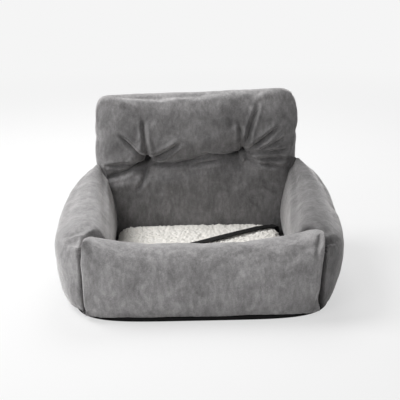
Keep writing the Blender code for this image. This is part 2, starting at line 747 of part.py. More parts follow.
def make_zip():
    """Tapes with a row of teeth, a slider astride the teeth, and its pull."""
    tape_low = zip_seat_y()
    face = tape_low + ZIP_TAPE_THICKNESS
    half = ZIP_TAPE_WIDTH / 2
    tape = object_of(
        "back_zip_chain",
        box((-ZIP_HALF_LENGTH, tape_low, ZIP_HEIGHT - half), (ZIP_HALF_LENGTH, face, ZIP_HEIGHT + half)),
        NYLON,
        smooth=False,
    )
    teeth_half = ZIP_TEETH_WIDTH / 2
    teeth_reach = ZIP_HALF_LENGTH - ZIP_END_STOP
    count = int(2 * teeth_reach / ZIP_TOOTH_PITCH)
    teeth = bmesh.new()
    for i in range(count):
        x = -teeth_reach + (i + 0.5) * 2 * teeth_reach / count
        half_tooth = ZIP_TOOTH_PITCH * ZIP_TOOTH_SHARE / 2
        size = (2 * half_tooth, ZIP_TEETH_HEIGHT + ZIP_TAPE_THICKNESS / 2, 2 * teeth_half)
        centre = (x, face - ZIP_TAPE_THICKNESS / 2 + size[1] / 2, ZIP_HEIGHT)
        bmesh.ops.create_cube(teeth, size=1, matrix=Matrix.Translation(centre) @ Matrix.Diagonal((*size, 1)))
    add(tape, "teeth", teeth)

    slot_half = teeth_half + GAP
    slot_top = face + ZIP_TEETH_HEIGHT + GAP
    top = slot_top + ZIP_SLIDER_PLATE
    slider_half = ZIP_SLIDER_LENGTH / 2
    slider = object_of(
        "back_zip_slider",
        box(
            (ZIP_REST_X - slider_half, face + GAP, ZIP_HEIGHT - ZIP_SLIDER_WIDTH / 2),
            (ZIP_REST_X + slider_half, top, ZIP_HEIGHT + ZIP_SLIDER_WIDTH / 2),
        ),
        NYLON,
        smooth=False,
    )
    cut(
        slider,
        "channel",
        box(
            (ZIP_REST_X - ZIP_SLIDER_LENGTH, face - OVERRUN, ZIP_HEIGHT - slot_half),
            (ZIP_REST_X + ZIP_SLIDER_LENGTH, slot_top, ZIP_HEIGHT + slot_half),
        ),
    )
    pull_hole = ZIP_BAIL_RADIUS / 2 + GAP
    knuckle = pull_hole + ZIP_PULL_THICKNESS / 2
    axis_y = top + knuckle + GAP
    cheek = ZIP_BAIL_WIDTH / 2
    for i, side in enumerate((-1, 1)):
        inner = ZIP_HEIGHT + side * (ZIP_PULL_WIDTH / 2 + GAP)
        outer = inner + side * ZIP_BAIL_RADIUS
        low, high = min(inner, outer), max(inner, outer)
        add(
            slider,
            f"cheek_{i}",
            box(
                (ZIP_REST_X - cheek, top - ZIP_SLIDER_PLATE / 2, low),
                (ZIP_REST_X + cheek, axis_y + ZIP_BAIL_RADIUS, high),
            ),
        )
    pin_half = ZIP_PULL_WIDTH / 2 + GAP + ZIP_BAIL_RADIUS / 2
    pin = bar(
        (ZIP_REST_X, axis_y, ZIP_HEIGHT - pin_half),
        (ZIP_REST_X, axis_y, ZIP_HEIGHT + pin_half),
        ZIP_BAIL_RADIUS / 2,
        WIRE_SIDES,
    )
    add(slider, "pin", pin)

    pull = object_of(
        "back_zip_pull",
        box(
            (ZIP_REST_X, axis_y - ZIP_PULL_THICKNESS / 2, ZIP_HEIGHT - ZIP_PULL_WIDTH / 2),
            (ZIP_REST_X + ZIP_PULL_LENGTH, axis_y + ZIP_PULL_THICKNESS / 2, ZIP_HEIGHT + ZIP_PULL_WIDTH / 2),
        ),
        NYLON,
        smooth=False,
    )
    half_pull = ZIP_PULL_WIDTH / 2
    low, high = (ZIP_REST_X, axis_y, ZIP_HEIGHT - half_pull), (ZIP_REST_X, axis_y, ZIP_HEIGHT + half_pull)
    add(pull, "knuckle", bar(low, high, knuckle, WIRE_SIDES))
    past = Vector((0, 0, ZIP_HOLE_PAST))
    cut(pull, "pin_hole", bar(Vector(low) - past, Vector(high) + past, pull_hole, WIRE_SIDES))
    for piece in (slider, pull):
        pivot(piece, (ZIP_REST_X, axis_y, ZIP_HEIGHT))


# The mat and what lies on it


def make_mat():
    """A pile top and a plain underside, sewn edge to edge round a thin fill."""
    rise = MAT_THICKNESS * (1 - MAT_SEAM_SHARE)
    drop = MAT_THICKNESS * MAT_SEAM_SHARE
    seam = MAT_SEAM + GAP / 2
    outer = mat_sheet(0, seam, rise - GAP / 2, mat_rise)
    inner = mat_sheet(MAT_PILE, seam, rise - GAP / 2 - MAT_PILE, mat_rise)
    pile = object_of("mat_pile_cover", between(outer, inner), PILE)

    below = MAT_SEAM - GAP / 2
    bottom = mat_sheet(0, below, GAP / 2 - drop, mat_sag)
    lining = mat_sheet(MAT_UNDER_CLOTH, below, GAP / 2 + MAT_UNDER_CLOTH - drop, mat_sag)
    under = object_of("mat_underside", between(lining, bottom), LINER)

    inset = MAT_PILE + FILL_CLEARANCE
    fill_top = mat_sheet(inset, MAT_SEAM, rise - inset, mat_rise)
    fill_under = mat_sheet(inset, MAT_SEAM, MAT_UNDER_CLOTH + FILL_CLEARANCE - drop, mat_sag)
    fill = object_of("mat_fill", between(fill_top, fill_under), FIBRE)
    for piece in (pile, under, fill):
        pivot(piece, (0, MAT_CENTRE_Y, MAT_SEAM))


STRAP_ALONG = Vector((math.cos(STRAP_HEADING), math.sin(STRAP_HEADING), 0))
STRAP_ACROSS = Vector((-STRAP_ALONG.y, STRAP_ALONG.x, 0))


def strap_corner():
    """The point just outside the mat's rounded corner where the outline faces along the strap."""
    power = MAT_CORNER_SQUARENESS
    slope = STRAP_ALONG.x / STRAP_ALONG.y * MAT_HALF_WIDTH / MAT_HALF_LENGTH
    ratio = slope ** (1 / (power - 1))
    along = (1 / (ratio**power + 1)) ** (1 / power)
    edge = Vector((ratio * along * MAT_HALF_WIDTH, MAT_CENTRE_Y + along * MAT_HALF_LENGTH, 0))
    return edge - STRAP_ALONG * (STRAP_EDGE_CLEARANCE + STRAP_THICKNESS / 2)


STRAP_CORNER = strap_corner()


def strap_ground(run):
    """Height of the mat under the strap's middle at a distance along it."""
    place = STRAP_CORNER + STRAP_ALONG * run
    return mat_top(place.x, place.y)


def snap_axis_height():
    return strap_ground(STRAP_ON_MAT) + SNAP_BARREL_RADIUS + SNAP_LIFT


def strap_route():
    """The strap's middle line as (distance along, height) pairs: up, over the mat, round the snap's bar."""
    half = STRAP_THICKNESS / 2
    radius = STRAP_BEND_RADIUS
    over = max(strap_ground(radius + STRAP_STEP * k) for k in range(STRAP_TAIL_STEPS + 1)) + GAP + half
    route = [(0, MAT_FOOT), (0, blend(MAT_FOOT, over - radius, 0.5)), (0, over - radius)]
    for i in range(1, STRAP_BEND_STEPS):
        angle = math.pi / 2 * i / STRAP_BEND_STEPS
        route.append((radius * (1 - math.cos(angle)), over - radius * (1 - math.sin(angle))))
    wrap = SNAP_BAR_RADIUS + GAP + half
    bar_height = snap_axis_height()
    bar_run = STRAP_ON_MAT
    steps = round((bar_run - STRAP_STEP - radius) / STRAP_STEP)
    for i in range(steps + 1):
        run = radius + (bar_run - STRAP_STEP - radius) * i / steps
        route.append((run, max(strap_ground(run) + GAP + half, over if i == 0 else 0)))
    turn = math.pi + STRAP_DESCENT
    for i in range(STRAP_TURN_STEPS + 1):
        angle = -math.pi / 2 + turn * i / STRAP_TURN_STEPS
        route.append((bar_run + wrap * math.cos(angle), bar_height + wrap * math.sin(angle)))
    second = half + STRAP_THICKNESS + 2 * GAP
    run, height = route[-1]
    landing = run - (height - strap_ground(run) - second) / math.tan(STRAP_DESCENT)
    for i in range(STRAP_TAIL_STEPS + 1):
        run = blend(landing, bar_run - STRAP_FOLD_BACK, i / STRAP_TAIL_STEPS)
        route.append((run, strap_ground(run) + second))
    return route


def ribbon(route, width, thickness):
    """A flat strap along a route in the upright plane of its heading."""
    rings = []
    for i, (run, height) in enumerate(route):
        before, after = route[max(i - 1, 0)], route[min(i + 1, len(route) - 1)]
        ahead = Vector((after[0] - before[0], after[1] - before[1])).normalized()
        face = STRAP_ALONG * -ahead.y + Vector((0, 0, ahead.x))
        middle = STRAP_CORNER + STRAP_ALONG * run + Vector((0, 0, height))
        side, up = STRAP_ACROSS * width / 2, face * thickness / 2
        rings.append([middle + side * a + up * b for a, b in ((-1, -1), (1, -1), (1, 1), (-1, 1))])
    return loft(rings)


def make_strap():
    object_of("tether_strap", ribbon(strap_route(), STRAP_WIDTH, STRAP_THICKNESS), WEBBING)


def snap_place(along, across, up=0.0):
    """A point in the snap's frame: along from its bar, across to the jaw's side, and up from its axis."""
    middle = STRAP_CORNER + STRAP_ALONG * (STRAP_ON_MAT + along) + STRAP_ACROSS * across
    return middle + Vector((0, 0, snap_axis_height() + up))


def snap_points(points):
    return [snap_place(*p) for p in points]


SNAP_EYE_HALF = STRAP_WIDTH / 2 + SNAP_EYE_SIDE_CLEARANCE + SNAP_BAR_RADIUS
SNAP_BARREL_START = SNAP_EYE_LENGTH + SNAP_BAR_RADIUS + GAP
SNAP_BARREL_END = SNAP_BARREL_START + SNAP_BARREL_LENGTH

# Bends of the eye's leg and of the jaw, as shares along and across
SNAP_LEG_SHARES = ((0, -1), (0.3, -1), (0.95, -0.35), (1, 0))
SNAP_JAW_SHARES = (
    (-0.20, 0.28),
    (0.06, 0.38),
    (0.34, 0.80),
    (0.70, 1.0),
    (1.0, 0.72),
    (1.08, 0.28),
    (0.98, 0.0),
    (0.80, 0.0),
)


def make_snap():
    # The eye: a bar for the strap, two legs that meet, and the swivel's pin
    path = [(SNAP_EYE_LENGTH * a, SNAP_EYE_HALF * b, 0) for a, b in SNAP_LEG_SHARES]
    path += [(along, -across, up) for along, across, up in path[-2::-1]]
    curve = smooth_curve(snap_points(path), SNAP_EYE_STEPS)
    eye = object_of("snap_eye", swept_wire(curve, SNAP_BAR_RADIUS), CHROME)
    reach = SNAP_EYE_HALF + SNAP_BAR_RADIUS
    add(eye, "bar", bar(snap_place(0, -reach), snap_place(0, reach), SNAP_BAR_RADIUS, WIRE_SIDES))
    floor = SNAP_BARREL_START + SNAP_BORE_FLOOR
    rivet = floor + GAP
    rivet_end = rivet + SNAP_SWIVEL_HEAD_LENGTH
    tip = snap_place(rivet_end, 0)
    add(eye, "pin", bar(snap_place(SNAP_EYE_LENGTH, 0), tip, SNAP_SWIVEL_PIN_RADIUS, WIRE_SIDES))
    add(eye, "rivet", bar(snap_place(rivet, 0), tip, SNAP_SWIVEL_HEAD_RADIUS, WIRE_SIDES))

    # The body: a bored barrel with a jaw that curls round to face its mouth
    body = object_of(
        "snap_body",
        bar(snap_place(SNAP_BARREL_START, 0), snap_place(SNAP_BARREL_END, 0), SNAP_BARREL_RADIUS),
        CHROME,
    )
    jaw = [(SNAP_BARREL_END + SNAP_JAW_LENGTH * a, SNAP_JAW_WIDTH * b, 0) for a, b in SNAP_JAW_SHARES]
    add(body, "jaw", swept_wire(smooth_curve(snap_points(jaw), SNAP_JAW_STEPS), SNAP_JAW_WIRE_RADIUS))
    bore_end = SNAP_BARREL_END - SNAP_MOUTH_WALL
    cut(body, "bore", bar(snap_place(floor, 0), snap_place(bore_end, 0), SNAP_BORE_RADIUS))
    mouth_radius = SNAP_BOLT_RADIUS + GAP
    mouth = snap_place(bore_end - SNAP_CUT_PAST, 0), snap_place(SNAP_BARREL_END + SNAP_CUT_PAST, 0)
    cut(body, "mouth", bar(*mouth, mouth_radius, WIRE_SIDES))
    hole = snap_place(SNAP_BARREL_START - SNAP_CUT_PAST, 0), snap_place(floor + GAP, 0)
    cut(body, "swivel_hole", bar(*hole, SNAP_SWIVEL_PIN_RADIUS + GAP, WIRE_SIDES))

    # The bolt, closed against the jaw's tip, with its thumb stud in a slot of the barrel
    spring_start = rivet_end + GAP
    head_start = spring_start + SNAP_SPRING_SOLID_LENGTH + SNAP_BOLT_TRAVEL + GAP
    head_end = head_start + SNAP_BOLT_HEAD_LENGTH
    tip = SNAP_BARREL_END + SNAP_JAW_LENGTH * SNAP_JAW_SHARES[-1][0] - 2 * GAP
    bolt = object_of(
        "snap_bolt",
        bar(snap_place(head_start, 0), snap_place(tip, 0), SNAP_BOLT_RADIUS, WIRE_SIDES),
        CHROME,
    )
    head = snap_place(head_start, 0), snap_place(head_end, 0)
    add(bolt, "head", bar(*head, SNAP_BOLT_HEAD_RADIUS, WIRE_SIDES))
    stud_along = head_start + SNAP_BOLT_HEAD_LENGTH / 2
    stud = snap_place(stud_along, 0), snap_place(stud_along, SNAP_THUMB_REACH)
    add(bolt, "thumb_stud", bar(*stud, SNAP_THUMB_RADIUS, WIRE_SIDES))
    slot_half = SNAP_THUMB_RADIUS + 2 * GAP
    slot = []
    for along in (stud_along - SNAP_BOLT_TRAVEL - slot_half, stud_along + slot_half):
        corners = ((0, -slot_half), (0, slot_half), (OVERRUN, slot_half), (OVERRUN, -slot_half))
        slot.append([snap_place(along, across, up) for across, up in corners])
    cut(body, "thumb_slot", loft(slot))

    # The spring behind the bolt
    coil_radius = SNAP_BORE_RADIUS - SNAP_SPRING_WIRE_RADIUS - 2 * GAP
    first = spring_start + SNAP_SPRING_WIRE_RADIUS
    last = head_start - SNAP_SPRING_WIRE_RADIUS - GAP
    count = SNAP_SPRING_TURNS * SNAP_SPRING_POINTS_A_TURN
    coil = []
    for i in range(count + 1):
        angle = 2 * math.pi * i / SNAP_SPRING_POINTS_A_TURN
        along = blend(first, last, i / count)
        coil.append(snap_place(along, coil_radius * math.cos(angle), coil_radius * math.sin(angle)))
    turns = zip(coil, coil[SNAP_SPRING_POINTS_A_TURN:])
    least = min((b - a).length for a, b in turns) - 2 * SNAP_SPRING_WIRE_RADIUS
    print(f"snap_spring, least gap between its turns: {least:.5f} m")
    spring = object_of("snap_spring", swept_wire(coil, SNAP_SPRING_WIRE_RADIUS, SPRING_SIDES), SPRING_STEEL)
    for piece, along in ((eye, 0), (body, SNAP_BARREL_START), (bolt, head_start), (spring, first)):
        pivot(piece, snap_place(along, 0))


def make_all():
    clear_scene()
    make_base()
    make_bolsters()
    make_back()
    make_belt_loops()
    make_zip()
    make_mat()
    make_strap()
    make_snap()


make_all()
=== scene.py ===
import math

import bpy
import numpy as np
from mathutils import Matrix, Vector
from mathutils.bvhtree import BVHTree
from mathutils.kdtree import KDTree


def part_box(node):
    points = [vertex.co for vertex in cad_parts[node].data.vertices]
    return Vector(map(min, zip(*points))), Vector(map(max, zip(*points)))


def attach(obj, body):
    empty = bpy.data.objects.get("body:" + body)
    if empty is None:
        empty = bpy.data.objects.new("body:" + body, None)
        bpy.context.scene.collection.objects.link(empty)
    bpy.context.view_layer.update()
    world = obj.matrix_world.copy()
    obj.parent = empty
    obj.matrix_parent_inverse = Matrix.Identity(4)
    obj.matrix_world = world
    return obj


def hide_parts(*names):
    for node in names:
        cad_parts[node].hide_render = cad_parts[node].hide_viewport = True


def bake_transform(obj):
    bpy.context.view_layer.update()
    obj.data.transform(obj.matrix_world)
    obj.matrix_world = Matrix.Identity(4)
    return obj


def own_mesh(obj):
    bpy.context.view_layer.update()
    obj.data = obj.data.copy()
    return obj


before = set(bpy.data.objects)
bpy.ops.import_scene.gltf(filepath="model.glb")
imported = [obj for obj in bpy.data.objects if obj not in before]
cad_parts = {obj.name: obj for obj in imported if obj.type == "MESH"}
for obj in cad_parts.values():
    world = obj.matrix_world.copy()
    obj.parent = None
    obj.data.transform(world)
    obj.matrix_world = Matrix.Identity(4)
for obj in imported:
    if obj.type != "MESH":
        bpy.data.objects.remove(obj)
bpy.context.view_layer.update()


def selectOnly(*objs):
    if bpy.context.mode != "OBJECT":
        bpy.ops.object.mode_set(mode="OBJECT")
    bpy.ops.object.select_all(action="DESELECT")
    for obj in objs:
        obj.select_set(True)
    bpy.context.view_layer.objects.active = objs[-1]


def getPoints(obj, what="co"):
    flat = np.empty(len(obj.data.vertices) * 3)
    obj.data.vertices.foreach_get(what, flat)
    return flat.reshape(-1, 3)


def setPoints(obj, place):
    obj.data.vertices.foreach_set("co", np.asarray(place, float).ravel())
    obj.data.update()


def meshOps(obj, *steps):
    # each step is an edit-mode operator and its settings, run with everything selected
    selectOnly(obj)
    bpy.ops.object.mode_set(mode="EDIT")
    bpy.ops.mesh.select_all(action="SELECT")
    for operator, settings in steps:
        getattr(bpy.ops.mesh, operator)(**settings)
    bpy.ops.object.mode_set(mode="OBJECT")


def applyModifier(obj, kind, **settings):
    selectOnly(obj)
    modifier = obj.modifiers.new(kind.lower(), kind)
    for key, value in settings.items():
        setattr(modifier, key, value)
    bpy.ops.object.modifier_apply(modifier=modifier.name)


def bevel(obj, width, segments, angle=30):
    turn = math.radians(angle)
    applyModifier(obj, "BEVEL", width=width, segments=segments, limit_method="ANGLE", angle_limit=turn)


def repeat(obj, count, step):
    steps = {"use_relative_offset": False, "use_constant_offset": True, "constant_offset_displace": step}
    applyModifier(obj, "ARRAY", count=count, **steps)


def subdivide(obj, levels):
    applyModifier(obj, "SUBSURF", levels=levels, render_levels=levels)


def lumps(obj, size, strength, kind="CLOUDS", middle=0.5, group=""):
    texture = bpy.data.textures.new(obj.name + "Lumps", kind)
    texture.noise_scale = size
    values = {"strength": strength, "mid_level": middle, "vertex_group": group}
    applyModifier(obj, "DISPLACE", texture=texture, texture_coords="LOCAL", **values)


def weigh(obj, mask):
    # a vertex group that holds the mask in steps of a tenth
    group = obj.vertex_groups.new(name="mask")
    steps = np.round(mask, 1)
    for weight in np.unique(steps[steps > 0]):
        group.add([int(i) for i in np.nonzero(steps == weight)[0]], float(weight), "REPLACE")


def named(name):
    bpy.context.object.name = name
    return bpy.context.object


def copyOf(nodeName, name):
    selectOnly(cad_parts[nodeName])
    bpy.ops.object.duplicate()
    copy = named(name)
    bakePlace(copy)
    return copy


def smoothShade(obj, angle=None):
    selectOnly(obj)
    if angle is None:
        bpy.ops.object.shade_smooth()
    else:
        bpy.ops.object.shade_smooth_by_angle(angle=math.radians(angle))


def bakePlace(obj):
    selectOnly(obj)
    bpy.ops.object.transform_apply(location=True, rotation=True, scale=True)


def signedPower(value, power):
    return np.sign(value) * np.abs(value) ** power


def clamp(value, low=0.0, high=1.0):
    return np.minimum(np.maximum(value, low), high)


def crowd(value, share):
    # even steps with this share of them crowded towards the ends
    return (1 - share) * value + share * np.sin(math.pi / 2 * value)


def smoothStep(value):
    value = clamp(value)
    return value * value * (3 - 2 * value)


def roundOff(share, power, rounding):
    # full in the middle, and rounded off to nothing where the share is 1
    return np.maximum(1 - np.abs(share) ** power, 0) ** (1 / rounding)


def roundCorners(a, b, power):
    # draws a square's points in to a square with rounded corners
    norm = (np.abs(a) ** power + np.abs(b) ** power) ** (1 / power)
    pull = np.maximum(np.abs(a), np.abs(b)) / np.maximum(norm, 1e-9)
    return a * pull, b * pull


# Camera first: the photograph's angle, a long lens from a little above
cameraSettings = {
    "elevation": 17.0,
    "yaw": -1.125,
    "roll": -0.74,
    "distance": 2.298,
    "target": (0.001, 0.0, 0.1685),
    "focalPixels": 1093,
    "imagePixels": 400,
}


def addCamera(settings):
    tilt, yaw, roll = (math.radians(settings[key]) for key in ("elevation", "yaw", "roll"))
    back = Vector((math.sin(yaw) * math.cos(tilt), -math.cos(yaw) * math.cos(tilt), math.sin(tilt)))
    right = Vector((math.cos(yaw), math.sin(yaw), 0))
    up = back.cross(right)
    across = right * math.cos(roll) + up * math.sin(roll)
    upright = up * math.cos(roll) - right * math.sin(roll)
    bpy.ops.object.camera_add()
    camera = bpy.context.object
    turn = Matrix((across, upright, back)).transposed().to_4x4()
    camera.matrix_world = Matrix.Translation(Vector(settings["target"]) + back * settings["distance"]) @ turn
    camera.data.sensor_width = 36
    camera.data.lens = 36 * settings["focalPixels"] / settings["imagePixels"]
    camera.data.dof.use_dof = False
    bpy.context.scene.camera = camera


addCamera(cameraSettings)
print("camera placed")


# Colours are written as sRGB hex and turned to linear here
def colourOf(hexCode):
    channels = [int(hexCode[i : i + 2], 16) / 255 for i in (1, 3, 5)]
    return tuple(c / 12.92 if c <= 0.04045 else ((c + 0.055) / 1.055) ** 2.4 for c in channels) + (1.0,)


def addNode(tree, kind, links=None, values=None, **settings):
    # links: input -> (node, output); values: input -> number or colour
    node = tree.nodes.new("ShaderNode" + kind)
    for key, value in settings.items():
        setattr(node, key, value)
    for key, value in (values or {}).items():
        node.inputs[key].default_value = value
    for key, (source, output) in (links or {}).items():
        tree.links.new(source.outputs[output], node.inputs[key])
    return node


def newMaterial(name, hexCode, roughness, **shaderValues):
    material = bpy.data.materials.new(name)
    material.use_nodes = True
    shader = material.node_tree.nodes["Principled BSDF"]
    shader.inputs["Base Color"].default_value = colourOf(hexCode)
    shader.inputs["Roughness"].default_value = roughness
    for key, value in shaderValues.items():
        shader.inputs[key.replace("_", " ")].default_value = value
    return material, material.node_tree, shader


def colourRamp(tree, source, output, stops):
    ramp = addNode(tree, "ValToRGB", {"Fac": (source, output)})
    while len(ramp.color_ramp.elements) < len(stops):
        ramp.color_ramp.elements.new(0.5)
    for element, (place, hexCode) in zip(ramp.color_ramp.elements, stops):
        element.position = place
        element.color = colourOf(hexCode)
    return ramp


def noiseOf(tree, source, scale, detail, distortion=0.0, roughness=0.6):
    values = {"Scale": scale, "Detail": detail, "Roughness": roughness, "Distortion": distortion}
    return addNode(tree, "TexNoise", {"Vector": source}, values)


def waveOf(tree, source, period, direction, distortion, detail=1.0):
    # a Wave Texture repeats 20 radians to the unit at scale 1
    values = {"Scale": 2 * math.pi / 20 / period, "Distortion": distortion, "Detail": detail}
    return addNode(tree, "TexWave", {"Vector": source}, values, bands_direction=direction)


def surface(tree, shader, colour, height, strength, distance):
    # colour and height: (node, output)
    tree.links.new(colour[0].outputs[colour[1]], shader.inputs["Base Color"])
    bump = addNode(tree, "Bump", {"Height": height}, {"Strength": strength, "Distance": distance})
    tree.links.new(bump.outputs["Normal"], shader.inputs["Normal"])


plush = {
    "stops": ((0.36, 0.125), (0.5, 0.205), (0.64, 0.305)),
    "tint": (1.0, 0.975, 0.98),
    "cloudSize": 0.05,
    "strokeSize": 0.007,
    "strokeShape": {"Scale": (1.0, 1.0, 0.4), "Rotation": (0.2, 0.5, 0)},
    "napSize": 0.0022,
    "strokeShare": 0.42,
    "napShare": 0.22,
}


def makePlush(settings, paintedLightTone, paintedTopLight=None):
    # Brushed short-pile polyester plush: matt, cloudy where the nap is stroked, pale at glancing angles.
    # Its tone says which way a piece's nap lies: towards the light it is paler
    # Each piece's tone is painted light: its copy of the plush is made paler or darker for the light that
    # falls on it
    sheen = {"Sheen_Weight": 1.0, "Sheen_Roughness": 0.35, "Sheen_Tint": colourOf("#f2f0f0")}
    material, tree, shader = newMaterial("brushedPlush", "#8b8786", 0.95, Specular_IOR_Level=0.15, **sheen)
    place = (addNode(tree, "TexCoord"), "Object")
    clouds = noiseOf(tree, place, 1 / settings["cloudSize"], 5.0, 0.9, 0.62)
    stroked = addNode(tree, "Mapping", {"Vector": place}, settings["strokeShape"])
    strokes = noiseOf(tree, (stroked, "Vector"), 1 / settings["strokeSize"], 4.0)
    nap = noiseOf(tree, place, 1 / settings["napSize"], 2.0)
    share = {"Factor": settings["strokeShare"]}
    tone = addNode(tree, "Mix", {"A": (clouds, "Fac"), "B": (strokes, "Fac")}, share)
    share = {"Factor": settings["napShare"]}
    fine = addNode(tree, "Mix", {"A": (tone, "Result"), "B": (nap, "Fac")}, share)
    ramp = colourRamp(tree, fine, "Result", [(at, "#808080") for at, _ in settings["stops"]])
    # painted light: the ramp's levels are scaled by the piece's painted tone, paler where more light falls
    for element, (_, level) in zip(ramp.color_ramp.elements, settings["stops"]):
        element.color = tuple(tint * level * paintedLightTone for tint in settings["tint"]) + (1.0,)
    colour = (ramp, "Color")
    if paintedTopLight:
        # painted highlight: towards the upper edge the colour is made paler, as the light falls on the top
        low, high, gain = paintedTopLight
        parts = addNode(tree, "SeparateXYZ", {"Vector": place})
        reach = {"From Min": low, "From Max": high, "To Min": 1.0, "To Max": gain}
        lift = addNode(tree, "MapRange", {"Value": (parts, "Z")}, reach, interpolation_type="SMOOTHSTEP")
        links = {0: (ramp, "Color"), "Scale": (lift, "Result")}
        colour = (addNode(tree, "VectorMath", links, operation="SCALE"), "Vector")
    height = addNode(tree, "Math", {0: (nap, "Fac"), 1: (strokes, "Fac")}, operation="ADD")
    surface(tree, shader, colour, (height, "Value"), 0.55, 0.0012)
    return material


def makeSherpa():
    # Sherpa pile: off-white matt polyester curls
    sheen = {"Sheen_Weight": 0.35, "Sheen_Roughness": 0.5}
    material, tree, shader = newMaterial("sherpaPile", "#efece6", 0.95, Specular_IOR_Level=0.1, **sheen)
    place = (addNode(tree, "TexCoord"), "Object")
    curls = noiseOf(tree, place, 260.0, 3.0, 1.6)
    patches = noiseOf(tree, place, 28.0, 3.0)
    tone = addNode(tree, "Mix", {"A": (curls, "Fac"), "B": (patches, "Fac")}, {"Factor": 0.4})
    ramp = colourRamp(tree, tone, "Result", [(0.3, "#e6e2da"), (0.52, "#f4f1eb"), (0.75, "#fbf9f5")])
    surface(tree, shader, (ramp, "Color"), (curls, "Fac"), 0.7, 0.0011)
    return material


def weaveOf(tree, source, periods, distortions, detail):
    # threads one way over threads the other way
    threads = [
        (waveOf(tree, source, period, direction, distortion, detail), "Fac")
        for period, direction, distortion in zip(periods, ("Y", "X"), distortions)
    ]
    return addNode(tree, "Math", dict(enumerate(threads)), operation="MULTIPLY")


def makeWebbing():
    # Woven polyester webbing: ribs across the strap, from its UV map in metres
    material, tree, shader = newMaterial("wovenWebbing", "#121111", 0.7, Specular_IOR_Level=0.25)
    place = (addNode(tree, "UVMap"), "UV")
    weave = weaveOf(tree, place, (0.0016, 0.0022), (0.6, 0.4), 1.0)
    ramp = colourRamp(tree, weave, "Value", [(0.0, "#060606"), (0.45, "#0e0d0d"), (1.0, "#191817")])
    surface(tree, shader, (ramp, "Color"), (weave, "Value"), 0.8, 0.0005)
    return material


def makeCloth(name, dark, light, threadSize, roughness=0.85):
    # Plain woven polyester: a fine thread grid with a little unevenness
    material, tree, shader = newMaterial(name, dark, roughness, Specular_IOR_Level=0.2)
    place = (addNode(tree, "TexCoord"), "Object")
    weave = weaveOf(tree, place, (threadSize, threadSize), (1.0, 1.0), 2.0)
    ramp = colourRamp(tree, weave, "Value", [(0.0, dark), (1.0, light)])
    surface(tree, shader, (ramp, "Color"), (weave, "Value"), 0.5, 0.0004)
    return material


def makeSpeckled(name, dark, light, size, roughness, bumpDepth, **shaderValues):
    # Grained finish: a fine noise in both the tone and the surface
    material, tree, shader = newMaterial(name, dark, roughness, **shaderValues)
    grain = noiseOf(tree, (addNode(tree, "TexCoord"), "Object"), 1 / size, 4.0)
    ramp = colourRamp(tree, grain, "Fac", [(0.35, dark), (0.65, light)])
    surface(tree, shader, (ramp, "Color"), (grain, "Fac"), 0.4, bumpDepth)
    return material


sherpaPile = makeSherpa()
wovenWebbing = makeWebbing()
linerCloth = makeCloth("linerPolyester", "#242424", "#3a3a39", 0.0011)
baseCloth = makeCloth("nonSlipPolyester", "#0d0d0e", "#1c1c1d", 0.0012, 0.8)
gripRubber = makeSpeckled("gripPvcDots", "#141415", "#1d1d1e", 0.0006, 0.5, 0.0001)
nickel = makeSpeckled("nickelPlatedZinc", "#c6c4bf", "#d2d0cb", 0.004, 0.2, 0.00002, Metallic=1.0)
springSteel = makeSpeckled("springSteelWire", "#9c9c9e", "#b4b4b6", 0.002, 0.32, 0.00002, Metallic=1.0)
zipNylon = makeSpeckled("mouldedNylon", "#161617", "#232324", 0.0009, 0.45, 0.00004)
foamBoard = makeSpeckled("polyurethaneFoam", "#cfc8b6", "#ddd7c7", 0.0012, 0.9, 0.0004)
waxedThread = makeSpeckled("waxedThread", "#3a3838", "#565453", 0.0005, 0.6, 0.0002)
blackThread = makeSpeckled("polyesterThread", "#131313", "#262625", 0.0005, 0.6, 0.0002)
print("materials made")


def dress(obj, material, slotName, body, *nodes):
    obj.data.materials.clear()
    obj.data.materials.append(material)
    if body:
        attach(obj, body)
    if nodes:
        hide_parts(*nodes)


for nodeName in ("snap_body", "snap_bolt", "snap_eye"):
    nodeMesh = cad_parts[nodeName].data
    nodeMesh.materials.clear()
    nodeMesh.materials.append(nickel)


# A sewn form starts as a grid that is folded round; u and v run from -1 to 1 over it
def foldedGrid(name, countU, countV, shape, twoSheets=False):
    bpy.ops.object.select_all(action="DESELECT")
    bpy.ops.mesh.primitive_grid_add(x_subdivisions=countU, y_subdivisions=countV, size=2)
    obj = named(name)
    if twoSheets:
        # by the modifier, because an extrusion orders its faces anew at each run, and the cloth with them
        applyModifier(obj, "SOLIDIFY", thickness=1, offset=1)
    raw = getPoints(obj)
    setPoints(obj, shape(raw[:, 0], raw[:, 1], raw[:, 2]))
    return obj


def sewShut(obj, gap=0.0003):
    meshOps(obj, ("remove_doubles", {"threshold": gap}), ("normals_make_consistent", {"inside": False}))
    middle = Vector(getPoints(obj).mean(0))
    outward = sum((face.center - middle).dot(face.normal) * face.area for face in obj.data.polygons)
    if outward < 0:
        meshOps(obj, ("flip_normals", {}))


# Every cushion is blown up in the same way: slim is how much smaller its cloth starts than its pattern
stuffing = {
    "slim": 0.003,
    "heldFoot": 0.0095,
    "steps": 18,
    "cloth": {
        "quality": 5,
        "mass": 0.3,
        "tension_stiffness": 12.0,
        "compression_stiffness": 12.0,
        "use_pressure": True,
        "uniform_pressure_force": 4.0,
    },
}


